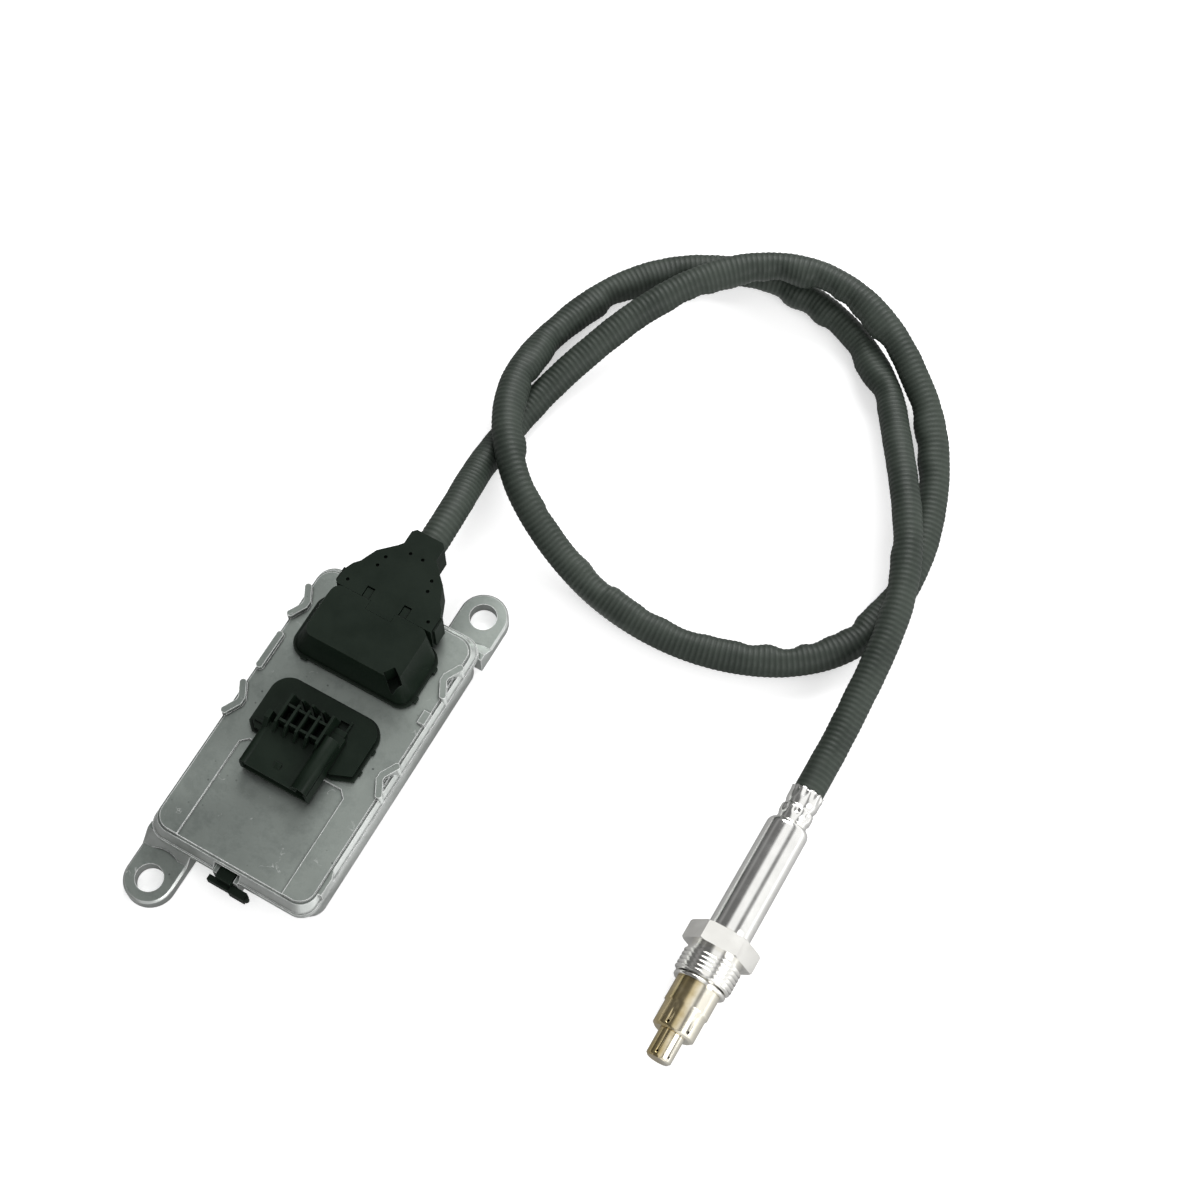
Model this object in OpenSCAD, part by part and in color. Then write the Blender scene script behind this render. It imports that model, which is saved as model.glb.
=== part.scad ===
// Nitrogen oxide sensor for an exhaust pipe: a die-cast control unit, a sleeved cable and a heated probe.
// The origin is the centre of the control unit's mounting plane. +Y points to its cable outlet, +Z is up.

/* [Control unit castings] */
// Width of the housing over its flange
body_w = 63; // [60:0.5:70]
// Length of the housing over its flange
body_l = 111; // [109:0.5:118]
// Height of the lid's top face over the mounting plane
body_h = 17; // [16:0.5:20]
// Height of the parting plane between base and cover
parting_h = 11; // [10.5:0.25:12]
// Corner radius of the flange
flange_r = 6.5; // [5:0.5:9]
// Thickness of the flange rim of each casting
rim_t = 1.5; // [1.2:0.1:2]
// Wall thickness of the castings
wall = 2.4; // [2:0.1:2.8]
// Distance from the flange's side to the lid's edge
lid_in_x = 2; // [1.6:0.1:3]
// Distance from the flange's end to the lid's edge
lid_in_y = 3.2; // [2.6:0.1:4]
// Height of the small step round the lid
lid_step = 0.9; // [0.6:0.1:1.4]
// Distance from the flange's side to the base's side wall
base_in_x = 0.4; // [0.2:0.1:0.8]
// Distance from the flange's end to the base's end wall
base_in_y = 3.3; // [2.5:0.1:4]
// Depth of the bare recess in the lid
recess_depth = 0.5; // [0.3:0.1:0.8]
// Width of the bare recess in the lid
recess_w = 40.6; // [36:0.2:44]
// Width of the notch in the lower flange
notch_w = 9.8; // [9:0.2:12]

/* [Mounting ears] */
// Distance from the housing's side in to an ear hole
ear_in_x = 8; // [7.5:0.25:9.5]
// Distance from the housing's end out to an ear hole
ear_out_y = 11.5; // [11:0.25:14]
// Diameter of the ear holes
ear_hole_d = 9.5; // [7:0.5:10]
// Radius of the ears' round ends
ear_r = 8.75; // [7.75:0.25:9.25]
// Thickness of the ears
ear_t = 5; // [4:0.5:6.5]
// Radius of the spot face round each ear hole
spot_r = 10.6; // [9.5:0.1:12]

/* [Gripper ribs] */
// Height of the chevron ribs over the lid
chevron_h = 2; // [1:0.25:3]
// Length of each chevron along the housing
chevron_l = 13.6; // [11:0.2:16]
// Width of the ribs
chevron_w = 2.4; // [1.8:0.1:2.8]

/* [Board and seal] */
// Thickness of the circuit board
board_t = 1.6; // [1:0.1:2]
// Height of the posts that carry the board, over the base's floor
post_h = 3.6; // [3:0.1:4.2]
// Gap between the board and the base's walls
board_gap = 1; // [0.6:0.1:1.4]
// Width of the seal between the castings
seal_w = 1.4; // [1:0.1:1.6]
// Depth of the seal's groove
seal_depth = 1.2; // [0.8:0.1:1.4]

/* [Connector header] */
// Height of the header's flange over the lid
header_flange_h = 2.8; // [2.2:0.1:3.6]
// Height of the lattice over the lid
lattice_h = 12.4; // [11.5:0.1:14]
// Height of the socket's roof over the lid
socket_h = 7.8; // [7.2:0.1:8.4]
// Width of the socket
socket_w = 26.2; // [25.8:0.1:27]
// Wall thickness of the socket
socket_wall = 0.9; // [0.8:0.05:1]
// Distance from the module's centre to the socket's mouth
socket_reach = 22.9; // [22:0.1:25]
// Number of terminals
terminal_n = 4; // [2:1:4]
// Distance between the terminals, and between the fins
terminal_pitch = 3.95; // [3.8:0.05:4]
// Width of a terminal blade
terminal_w = 1.5; // [1:0.1:2]
// Thickness of a terminal blade
terminal_t = 0.8; // [0.6:0.1:1]
// Thickness of the lattice's fins
fin_t = 0.8; // [0.7:0.1:1.2]
// Radius of the polarising ridge
ridge_r = 2.9; // [2.6:0.1:3]

/* [Cable outlet] */
// Height of the outlet housing over the lid
outlet_h = 15; // [14:0.5:17]
// Width of the outlet housing at its foot
outlet_w = 47; // [45:0.2:48.4]
// Length of the outlet housing at its foot
outlet_l = 24; // [22:0.5:25]
// Height of the foot flange
foot_h = 1.8; // [1.2:0.1:2.6]
// How far the outlet housing's sides lean in
outlet_lean_x = 4.6; // [3:0.1:6]
// How far the outlet housing's front leans in
outlet_lean_y = 3.6; // [2:0.1:5]
// Height of the clamshell that holds the cable
shell_h = 13; // [12.6:0.2:14]
// Half width of the clamshell at the housing
shell_half_w = 18.4; // [17.4:0.2:19]
// Distance from the housing's rear wall to the end of the neck
shell_l = 30; // [29:0.2:31]
// Half width of the cable neck
neck_half_w = 6.4; // [6.3:0.05:7.5]
// Length of the seal in the neck
neck_seal_l = 6; // [4:0.5:7]

/* [Cable] */
// Outer diameter of the sleeve over the cable
cable_d = 10.4; // [9:0.1:10.6]
// Gap between the sleeve and what it enters
cable_gap = 0.3; // [0.2:0.05:0.4]
// Diameter of each lead wire
wire_d = 1.4; // [1:0.1:1.6]
// Number of lead wires
wire_n = 6; // [2:1:6]

/* [Probe] */
// Distance from the module's centre line to the probe's axis
probe_x = 150.5; // [150.5:0.5:150.5]
// Width of the gland nut across its flats
nut_af = 22; // [21:0.5:24]
// Length of the gland nut's hexagon
nut_hex_l = 6.8; // [6:0.2:9]
// Outer diameter of the gland nut's thread
thread_d = 20; // [18:0.5:20]
// Length of the thread
thread_l = 8.2; // [7:0.2:9]
// Length of the undercut between thread and hexagon
undercut_l = 2; // [1:0.1:2.4]
// Radius of the sleeve that the nut turns on
stem_r = 6.5; // [6.2:0.05:6.8]
// Radial clearance of the nut on its sleeve
nut_gap = 0.06; // [0.03:0.01:0.1]
// Axial clearance at each end of the nut
nut_end_gap = 0.3; // [0.2:0.05:0.5]
// Diameter of the seat ring in front of the nut
seat_d = 18.4; // [17.2:0.1:19.2]
// Length of the seat ring
seat_l = 1.4; // [1.2:0.1:4]
// Diameter of the outer protection tube
tube_d = 15.4; // [15:0.1:16.2]
// Diameter of the outer tube's lower part
tube_low_d = 14.6; // [13.6:0.1:14.8]
// Length of the outer protection tube in front of the seat ring
tube_l = 17.3; // [16:0.1:19]
// Diameter of the inner tube's tip
tip_d = 8.7; // [8:0.1:9.4]
// Length of the tip in front of the outer tube
tip_l = 9.3; // [8:0.1:11]
// Wall thickness of the protection tubes
tube_wall = 0.6; // [0.5:0.05:0.8]
// Diameter of the gas holes in the outer tube
gas_hole_d = 1.1; // [0.8:0.1:1.6]
// Diameter of the gas holes in the tip
tip_hole_d = 0.9; // [0.7:0.1:1.3]
// Number of gas holes in each ring
gas_hole_n = 6; // [4:1:8]
// Diameter of the barrel
barrel_d = 14.9; // [14.6:0.1:15.4]
// Length of the barrel
barrel_l = 43.6; // [38:0.2:48]
// Wall thickness of the barrel
barrel_wall = 0.9; // [0.7:0.05:1.1]
// Length of the crimped collar behind the barrel
collar_l = 12.3; // [11.5:0.1:13.5]
// Outer radius of the collar's neck
collar_r = 5.3; // [5.1:0.05:5.5]
// Wall thickness of the collar
collar_wall = 0.6; // [0.5:0.05:0.7]

/* [Hidden] */
$fn = 48;
eps = 0.01;
fit = 0.05;

// Castings
base_w = body_w - 2 * base_in_x;
base_l = body_l - 2 * base_in_y;
lid_w = body_w - 2 * lid_in_x;
lid_l = body_l - 2 * lid_in_y;
lid_r = flange_r - 1;
cavity_w = base_w - 2 * wall - 2;
cavity_l = base_l - 2 * wall;
cavity_r = 3;
floor_t = 2.8;
plate_t = 2;
board_z = floor_t + post_h;
board_top = board_z + board_t;
seal_out_w = cavity_w + 2 * seal_w + 1.4;
seal_out_l = cavity_l + 2 * seal_w + 1.4;
ear_x = body_w / 2 - ear_in_x;
ear_y = body_l / 2 + ear_out_y;
ear_edge = 0.7;
recess_top_y = -13;
recess_r = 2.4;

// Header: a flange on the lid, the lattice on it and the socket in front
header_x0 = -21.2;
header_x1 = 20.4;
header_back = 12.4;
header_front = -10.4;
header_r = 7;
header_z = body_h + header_flange_h;
lattice_z = body_h + lattice_h;
socket_x1 = 11.7;
socket_x0 = socket_x1 - socket_w;
socket_z1 = body_h + socket_h;
socket_z0 = body_h + 1.3;
socket_back = -11.5;
ridge_x = socket_x1 - ridge_r - 0.1;
ridge_z = socket_z1 + 0.8;
ridge_back = -2.4;
edge_r = 1.4;
edge_x = socket_x0 + edge_r + 0.1;
edge_z = socket_z1 - 0.8;
lattice_x1 = 5.9;
lattice_x0 = lattice_x1 - terminal_n * terminal_pitch;
lattice_back = 4.2;
lattice_knee = -6.8;
lattice_foot = -9.6;
bar_rear = 0.45;
bar_front = -5.2;
pocket_z = socket_z1 - 2;
terminal_z = (socket_z0 + socket_z1) / 2;
terminal_tip = -socket_reach + 5;
terminal_bend_y = -3.2;

// Outlet: the housing's foot, its top and the clamshell behind it
outlet_x = -0.8;
outlet_rear = 44;
outlet_front = outlet_rear - outlet_l;
outlet_r = 5.5;
outlet_top = body_h + outlet_h;
outlet_wall = 2;
opening_in = 6;
shell_top = outlet_top;
shell_bottom = shell_top - shell_h;
shell_mid = (shell_top + shell_bottom) / 2;
shell_end = outlet_rear + shell_l;
shell_gap = 0.15;
tab_half_w = 4.8;
tab_l = 3.2;
tab_t = 2;
slot_l = 4.4;
neck_bore_r = cable_d / 2 + cable_gap;
chamber_half_w = 9;
chamber_wall = 2.4;
sleeve_y = 66;
wire_pitch = wire_d + 0.4;
pin_d = wire_d + 0.2;
wire_down_y = outlet_rear - 7.8;

// Probe stations along its axis, from the tip back to the cable
probe_z = nut_af / 2;
s_tube = tip_l;
s_seat = s_tube + tube_l;
s_nut = s_seat + seat_l + nut_end_gap;
s_undercut = s_nut + thread_l;
s_hex = s_undercut + undercut_l;
s_hex_end = s_hex + nut_hex_l;
s_barrel = s_hex_end + nut_end_gap;
s_collar = s_barrel + barrel_l;
s_end = s_collar + collar_l;
stem_bore_r = 4.6;

// The cable's route, from inside the neck to the collar: its points are chosen by hand
ROUTE = [
    [0, 66, 25.5], [0, 89.5, 25.3], [-5, 110.5, 14], [-6, 131.5, 5.5], [-2, 155.5, 6.5],
    [5.5, 177, 11], [14.5, 198, 15], [26.5, 218, 16.5], [44, 234.5, 17], [67.5, 241, 17.5],
    [91.5, 235, 16], [110.5, 222, 12.5], [127, 206.5, 8.5], [137, 186.5, 6], [144, 164, 5.5],
    [144.5, 140.5, 5.5], [139, 117.5, 5.5], [121, 101.5, 5.5], [99, 93, 5.5], [76.5, 90.5, 5.5],
    [53, 93, 6], [31.5, 100, 10.5], [11.5, 110, 19], [-4.5, 128, 19.7], [-13, 149.5, 15],
    [-12.5, 171.5, 7], [-7, 194, 6], [4, 213.5, 5.5], [21.5, 228, 5.5], [43, 236, 5.5],
    [66, 235.5, 5.5], [87.5, 227.5, 5.5], [105.5, 213.5, 8], [117, 194.5, 13], [130.5, 174.5, 16.5],
    [141.5, 154.5, 17.5], [148, 132.5, 16.5], [149.5, 109.5, 14], [150.5, 86.5, 11], [150.5, 63.5, 11]
];
CORD_SIDES = 12;
CORD_STEPS = 2;
probe_tip_y = ROUTE[len(ROUTE) - 1][1] - s_end;

// A rectangle with round corners
module round_rect(w, l, r) {
    square([w - 2 * r, l], center = true);
    square([w, l - 2 * r], center = true);
    for (sx = [-1, 1], sy = [-1, 1])
        translate([sx * (w / 2 - r), sy * (l / 2 - r)]) circle(r);
}

// A plate with round corners, from z0 up
module plate(w, l, r, z0, h) {
    translate([0, 0, z0]) linear_extrude(h) round_rect(w, l, r);
}

// A box between two corners
module box(a, b) {
    translate(a) cube([b[0] - a[0], b[1] - a[1], b[2] - a[2]]);
}

// A bar with round ends between two points of the plan
module bar2d(a, b, w) {
    d = b - a;
    n = norm(d);
    flat = w / 2 - 0.05;
    translate(a) rotate(atan2(d[1], d[0])) translate([0, -flat]) square([n, 2 * flat]);
    translate(a) circle(w / 2);
    translate(b) circle(w / 2);
}

// One mounting ear: a round end, an arm to the housing and a bevelled upper edge
module ear(inner_y) {
    arm = ear_y - inner_y;
    bevel = ear_edge;
    difference() {
        union() {
            linear_extrude(ear_t - bevel) ear_outline(ear_r, arm);
            translate([0, 0, ear_t - bevel]) cylinder(h = bevel, r1 = ear_r, r2 = ear_r - bevel);
            translate([0, 0, ear_t - bevel]) rotate([-90, 0, 0]) linear_extrude(arm)
                polygon([[-ear_r, 0], [ear_r, 0], [ear_r - bevel, -bevel], [bevel - ear_r, -bevel]]);
            ear_gusset(arm);
        }
        translate([0, 0, ear_t]) cylinder(h = parting_h, r = spot_r);
        translate([0, 0, -1]) cylinder(h = ear_t + 2, d = ear_hole_d);
    }
}

module ear_outline(r, arm) {
    circle(r);
    translate([-r, 0]) square([2 * r, arm]);
}

// The slope from the ear up to the flange, before the spot face is cut in it
module ear_gusset(arm) {
    reach = 7.5;
    top = parting_h - rim_t;
    translate([-ear_r, 0, 0]) rotate([90, 0, 90]) linear_extrude(2 * ear_r)
        polygon([[arm, ear_t - 1], [arm - reach, ear_t - 1], [arm - 2.4, top], [arm, top]]);
}

// Base casting: a tray with posts for the board, a groove for the seal and two ears
module base_housing() {
    chamfer = 1;
    color([0.60, 0.62, 0.61]) {
        difference() {
            union() {
                plate(base_w - 2 * chamfer, base_l - 2 * chamfer, flange_r - 1, 0, 2 * chamfer);
                plate(base_w, base_l, flange_r - 0.4, chamfer, parting_h - chamfer);
                plate(body_w, body_l, flange_r, parting_h - rim_t, rim_t);
            }
            plate(cavity_w, cavity_l, cavity_r, floor_t, parting_h);
            seal_ring(0, parting_h - seal_depth, 2 * seal_depth);
            flange_notch();
        }
        for (sx = [-1, 1], sy = [-1, 1])
            translate([sx * (cavity_w / 2 - 5), sy * (cavity_l / 2 - 6), floor_t - 1])
                cylinder(h = post_h + 1, r = 2.6);
        translate([-ear_x, -ear_y, 0]) ear(base_l / 2 - 1);
        translate([ear_x, ear_y, 0]) rotate(180) ear(base_l / 2 - 1);
        clip_frame();
    }
}

// The seal's ring in the plan, grown by a margin
module seal_ring(margin, z0, h) {
    difference() {
        plate(seal_out_w + 2 * margin, seal_out_l + 2 * margin, cavity_r + seal_w + 0.7, z0, h);
        plate(seal_out_w - 2 * seal_w - 2 * margin, seal_out_l - 2 * seal_w - 2 * margin,
            cavity_r + 0.7, z0 - 1, h + 2);
    }
}

// The notch in both flanges at the lower end, where the clip sits
module flange_notch() {
    box([-notch_w / 2, -body_l / 2 - 1, -1], [notch_w / 2, -base_l / 2, body_h - lid_step - 1]);
}

// The cast frame in the notch that the clip snaps in
module clip_frame() {
    half = notch_w / 2 - 0.9;
    y1 = -base_l / 2 + 0.2;
    y0 = -base_l / 2 - 3.9;
    for (side = [-1, 1])
        box([side * half - 0.75, y0, 2], [side * half + 0.75, y1, parting_h + 1]);
}

// A chevron rib on the lid's edge: its point faces inwards
module chevron2d(side) {
    half = chevron_l / 2 - chevron_w / 2;
    tip = body_w / 2 - 4;
    end = body_w / 2 - chevron_w / 2 - 0.25;
    knee = 0.9;
    for (sy = [-1, 1]) bar2d([side * tip, sy * knee], [side * end, sy * half], chevron_w);
    bar2d([side * tip, -knee], [side * tip, knee], chevron_w);
}

// The four chevrons, the straight rib on the left and the small pad on the right
module gripper_ribs() {
    z0 = parting_h + rim_t / 2;
    top = body_h + chevron_h;
    for (side = [-1, 1], y = [36.7, -3.4])
        translate([0, y, z0]) linear_extrude(top - z0) chevron2d(side);
    translate([0, 0, z0]) linear_extrude(top - z0)
        bar2d([-body_w / 2 + 2.6, 10.4], [-body_w / 2 + 2.6, 22.8], chevron_w);
    box([body_w / 2 - 4.2, 19.2, body_h - 1], [body_w / 2 - 1.6, 24, body_h + chevron_h / 2]);
}

// Cover casting: a flange, a leaning skirt and the lid with its openings, ribs and bare recess
module top_cover() {
    skirt_top = body_h - lid_step;
    color([0.64, 0.66, 0.65]) {
        difference() {
            union() {
                plate(body_w, body_l, flange_r, parting_h, rim_t);
                hull() {
                    plate(body_w - 0.8, body_l - 1, flange_r - 0.5, parting_h + rim_t - 0.2, 0.1);
                    plate(lid_w + 1.6, lid_l + 1.8, lid_r + 0.6, skirt_top - 0.1, 0.1);
                }
                plate(lid_w, lid_l, lid_r, skirt_top - 0.5, lid_step + 0.5);
                gripper_ribs();
            }
            plate(cavity_w - 0.6, cavity_l - 0.6, cavity_r, parting_h - 1, body_h - plate_t - parting_h + 1);
            lid_recess();
            flange_notch();
            header_spigot(0.2, 3);
            outlet_spigot(0.2, 3);
        }
        corner_wedge();
    }
}

// The shallow bare recess, open to the lid's lower edge
module lid_recess() {
    z0 = body_h - recess_depth;
    y0 = -body_l / 2;
    translate([0, 0, z0]) linear_extrude(recess_depth + 1) {
        polygon([
            [-recess_w / 2, y0], [recess_w / 2, y0], [recess_w / 2, recess_top_y - recess_r],
            [recess_w / 2 - recess_r, recess_top_y], [recess_r - recess_w / 2, recess_top_y],
            [-recess_w / 2, recess_top_y - recess_r]
        ]);
    }
}

// The swelling of the flange at the lower right corner
module corner_wedge() {
    y0 = -body_l / 2 + 9;
    translate([0, 0, parting_h]) linear_extrude(body_h - lid_step - parting_h)
        polygon([
            [body_w / 2 - 3, y0], [body_w / 2, y0], [body_w / 2, y0 + 6.5],
            [body_w / 2 - 0.9, y0 + 9], [body_w / 2 - 3, y0 + 9]
        ]);
}

// The seal between the castings
module cover_gasket() {
    color([0.12, 0.12, 0.12]) seal_ring(-fit, parting_h - seal_depth, seal_depth);
}

// Circuit board on its four posts
module circuit_board() {
    color([0.10, 0.35, 0.16])
        plate(cavity_w - 2 * board_gap, cavity_l - 2 * board_gap, 2, board_z, board_t);
}

// The taller parts on the board: a processor, two drivers, a row of capacitors and a coil
module board_components() {
    color([0.15, 0.15, 0.16]) {
        chip([-0.18, -0.24], [0.25, 0.25], board_t);
        chip([0.22, -0.26], [0.145, 0.145], 0.9 * board_t);
        chip([0.22, -0.4], [0.11, 0.16], 1.4 * board_t);
        for (i = [0:3])
            translate([-0.36 * cavity_w, (0.07 * i - 0.42) * cavity_l, board_top])
                cylinder(h = 2.1 * board_t, d = 0.09 * cavity_w);
        translate([0.325 * cavity_w, 0.14 * cavity_l, board_top])
            cylinder(h = 2.25 * board_t, d = 0.145 * cavity_w);
    }
}

// A flat part on the board: its place and size are shares of the room inside
module chip(at, size, h) {
    w = size[0] * cavity_w;
    l = size[1] * cavity_w;
    translate([at[0] * cavity_w - w / 2, at[1] * cavity_l - l / 2, board_top]) cube([w, l, h]);
}

// The header flange's outline: round at the back, cut off at the front corners
module header_outline(inset) {
    x0 = header_x0 + inset;
    x1 = header_x1 - inset;
    y1 = header_back - inset;
    y0 = header_front + inset;
    r = header_r - inset;
    translate([x0 + r, y1 - r]) circle(r);
    translate([x1 - r, y1 - r]) circle(r);
    translate([x0 + r, y1 - 2 * r]) square([x1 - x0 - 2 * r, 2 * r]);
    polygon([
        [x0, y1 - r], [x1, y1 - r], [x1, y0 + 1.3], [x1 - 7, y0 - 1.6], [x0 + 2.6, y0], [x0, y0 + 2.6]
    ]);
}

// The part of the header that passes through the cover, grown by a margin
module header_spigot(margin, h) {
    x0 = header_x0 + 4;
    x1 = header_x1 - 4;
    box([x0 - margin, header_front + 3 - margin, body_h - plate_t - margin / 2],
        [x1 + margin, header_back - 4 + margin, body_h - plate_t + h]);
}

// Connector header: a stepped flange, a lattice of fins and a socket towards the lower end
module connector_header() {
    step = header_flange_h * 0.45;
    color([0.12, 0.13, 0.12]) difference() {
        union() {
            translate([0, 0, body_h]) linear_extrude(step) header_outline(0);
            translate([0, 0, body_h]) linear_extrude(header_flange_h) header_outline(0.9);
            header_spigot(0, plate_t + 1);
            box([socket_x0 + 0.3, lattice_foot - 2, body_h], [socket_x1 - 0.2, bar_rear + 0.4, pocket_z]);
            box([lattice_x1, lattice_foot - 2, body_h], [socket_x1 - 0.3, ridge_back - 0.3, socket_z1 + 0.5]);
            box([lattice_x1, ridge_back - 1, body_h], [socket_x1 - 1.1, lattice_back - 1, header_z + 2.4]);
            lattice_fins();
            socket_shell();
            header_trim();
        }
        socket_mouth();
        terminal_slots();
        box([lattice_x0 + fin_t, bar_rear + 1.4, header_z - 1.4],
            [lattice_x1 - fin_t, lattice_back - 0.8, lattice_z]);
        box([lattice_x1 - 0.1, lattice_back - 0.3, header_z - 1.5],
            [ridge_x + 0.6, lattice_back + 2.6, header_z + 1]);
        header_hollow();
    }
}

// The underside of the header is open over the board
module header_hollow() {
    box([header_x0 + 6, lattice_back + 1, body_h - plate_t - 1],
        [header_x1 - 6, header_back - 5.4, body_h + 0.6]);
}

// Ribs and nibs of the header's flange
module header_trim() {
    for (y = [-5.4, 2.8])
        box([header_x1 - 1, y - 0.9, body_h], [header_x1 + 0.6, y + 0.9, body_h + 1]);
    box([ridge_x + 0.8, lattice_back - 1.6, header_z - 0.5],
        [ridge_x + 1.4, lattice_back + 3.4, header_z + 0.9]);
    box([header_x0 + 2.2, header_front + 3.2, header_z - 0.5],
        [socket_x0 - 1.6, header_front + 4, header_z + 0.6]);
}

// Fins along the header and two cross bars between them
module lattice_fins() {
    z0 = header_z - 1.6;
    for (i = [0:terminal_n])
        translate([lattice_x0 + i * terminal_pitch - fin_t / 2, 0, 0])
            rotate([90, 0, 90]) linear_extrude(fin_t)
                polygon([
                    [lattice_back + 2, z0], [lattice_back, lattice_z], [lattice_knee, lattice_z],
                    [lattice_foot, socket_z1 - 0.5], [lattice_foot, z0]
                ]);
    for (y = [bar_rear, bar_front])
        box([lattice_x0, y - 0.4, z0], [lattice_x1, y + 0.4, lattice_z - 0.5]);
    translate([socket_x0 + 0.3, 0, 0]) rotate([90, 0, 90]) linear_extrude(1.7)
        polygon([
            [lattice_knee + 4.4, z0], [lattice_knee + 2.9, lattice_z - 0.6], [lattice_knee, lattice_z - 0.6],
            [lattice_foot, edge_z + 0.9], [lattice_foot, z0]
        ]);
}

// The socket's shell with its polarising ridge, its round left edge and its locking ramp
module socket_shell() {
    back = lattice_foot + 3;
    translate([0, back, 0]) rotate([90, 0, 0]) linear_extrude(back + socket_reach)
        polygon([
            [socket_x0, socket_z0], [socket_x1, socket_z0], [socket_x1, socket_z1],
            [edge_x, socket_z1], [socket_x0, socket_z1 - 1.8]
        ]);
    translate([ridge_x, ridge_back, ridge_z]) rotate([90, 0, 0])
        cylinder(h = socket_reach + ridge_back - 0.1, r = ridge_r);
    translate([edge_x, back, edge_z]) rotate([90, 0, 0])
        cylinder(h = socket_reach + back - 0.1, r = edge_r);
    translate([-3.2, 0, 0]) rotate([90, 0, 90]) linear_extrude(2.2)
        polygon([
            [-socket_reach + 3.2, socket_z1 - 0.5], [-socket_reach + 3.2, socket_z1],
            [-socket_reach + 5.4, socket_z1 + 0.8], [-socket_reach + 5.8, socket_z1 - 0.5]
        ]);
}

// The clear space in the socket and the two keyways beside it
module socket_mouth() {
    box([socket_x0 + socket_wall + 0.3, -socket_reach - 1, socket_z0 + socket_wall],
        [socket_x1 - socket_wall, socket_back, socket_z1 - socket_wall]);
    translate([ridge_x, socket_back, ridge_z]) rotate([90, 0, 0])
        cylinder(h = socket_reach + socket_back + 1, r = ridge_r - 0.8);
    translate([edge_x, socket_back, edge_z]) rotate([90, 0, 0])
        cylinder(h = socket_reach + socket_back + 1, r = edge_r - 0.6, $fn = 32);
}

// One terminal: a blade in the socket, bent down to the board
module terminal(margin) {
    w = terminal_w / 2 + margin;
    t = terminal_t / 2 + margin;
    y1 = terminal_bend_y + terminal_t / 2 + margin;
    box([-w, terminal_tip - margin, terminal_z - t], [w, y1, terminal_z + t]);
    box([-w, y1 - 2 * t, board_top - margin], [w, y1, terminal_z + t]);
}

module terminal_row(margin) {
    for (i = [0:terminal_n - 1])
        translate([lattice_x0 + (i + 0.5) * terminal_pitch, 0, 0]) terminal(margin);
}

module terminal_slots() {
    terminal_row(fit);
}

module connector_terminals() {
    color([0.80, 0.72, 0.45]) terminal_row(0);
}

// The part of the outlet that passes through the cover, grown by a margin
module outlet_spigot(margin, h) {
    x0 = outlet_x - outlet_w / 2 + opening_in;
    x1 = outlet_x + outlet_w / 2 - opening_in;
    box([x0 - margin, outlet_front + opening_in - margin, body_h - plate_t - margin / 2],
        [x1 + margin, outlet_rear - 2.4 + margin, body_h - plate_t + h]);
}

// Outlet housing: a foot flange and a leaning block, hollow over the board
module outlet_housing() {
    mid_y = (outlet_front + outlet_rear) / 2;
    top_l = outlet_l - outlet_lean_y;
    top_y = outlet_rear - top_l / 2;
    top_w = outlet_w - 2 * outlet_lean_x - 1.2;
    color([0.11, 0.12, 0.11]) difference() {
        union() {
            translate([outlet_x, mid_y, 0]) plate(outlet_w, outlet_l, outlet_r, body_h, foot_h);
            hull() {
                translate([outlet_x, mid_y, 0])
                    plate(outlet_w - 1.6, outlet_l - 1.2, outlet_r - 0.6, body_h + foot_h - 0.2, 0.1);
                translate([outlet_x + 0.6, top_y, 0])
                    plate(top_w, top_l, 3.2, outlet_top - 0.1, 0.1);
            }
            outlet_spigot(0, plate_t + 1);
            latch_ribs();
            outlet_nibs();
        }
        outlet_room();
        box([-tab_half_w - shell_gap, outlet_rear - tab_l - shell_gap, shell_top - tab_t - shell_gap],
            [tab_half_w + shell_gap, outlet_rear + 1, shell_top + 1]);
        corner_pocket();
    }
}

// The room for the wires in the outlet housing, open to the board and to the clamshell
module outlet_room() {
    x0 = outlet_x - outlet_w / 2 + opening_in + outlet_wall;
    x1 = outlet_x + outlet_w / 2 - opening_in - outlet_wall;
    box([x0, outlet_front + opening_in + outlet_wall, body_h - plate_t - 1],
        [x1, outlet_rear - 2.4 - outlet_wall, outlet_top - outlet_wall - 1.4]);
    box([-chamber_half_w, outlet_rear - 8, shell_bottom + chamber_wall],
        [chamber_half_w, outlet_rear + 1, shell_top - chamber_wall - 0.6]);
}

// Two latch ribs that reach into the clamshell's slots
module latch_ribs() {
    for (x = [-7.1, 7.2])
        box([x - 1.2, outlet_rear - 1, shell_top - 2.2],
            [x + 1.2, outlet_rear + slot_l - 0.5, shell_top - 0.5]);
}

// Small nibs round the foot, left by the moulding clips
module outlet_nibs() {
    x1 = outlet_x + outlet_w / 2;
    for (y = [outlet_front + 5.5, outlet_rear - 6.5])
        box([x1 - 1, y - 1.2, body_h], [x1 + 0.7, y + 1.2, body_h + foot_h]);
    box([outlet_x - 18, outlet_front - 0.6, body_h], [outlet_x - 15.6, outlet_front + 1, body_h + foot_h]);
}

// The pocket in the top's front right corner
module corner_pocket() {
    x = outlet_x + outlet_w / 2 - outlet_lean_x - 2.4;
    translate([x, outlet_front + outlet_lean_y + 1, outlet_top - 4]) rotate(-35)
        cube([5.2, 4.2, 9], center = true);
}

// Half outlines of the clamshell from the housing to the neck's end
function shell_side() = [
    [shell_half_w, outlet_rear + shell_gap], [shell_half_w, outlet_rear + 6.4],
    [shell_half_w - 1, outlet_rear + 8.8], [shell_half_w - 2.9, outlet_rear + 11],
    [shell_half_w - 3.8, outlet_rear + 13.2], [shell_half_w - 5.4, outlet_rear + 16.8],
    [neck_half_w + 1.3, outlet_rear + 22], [neck_half_w, outlet_rear + 23.6],
    [neck_half_w, shell_end - 1.4], [neck_half_w - 1.3, shell_end]
];

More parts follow.
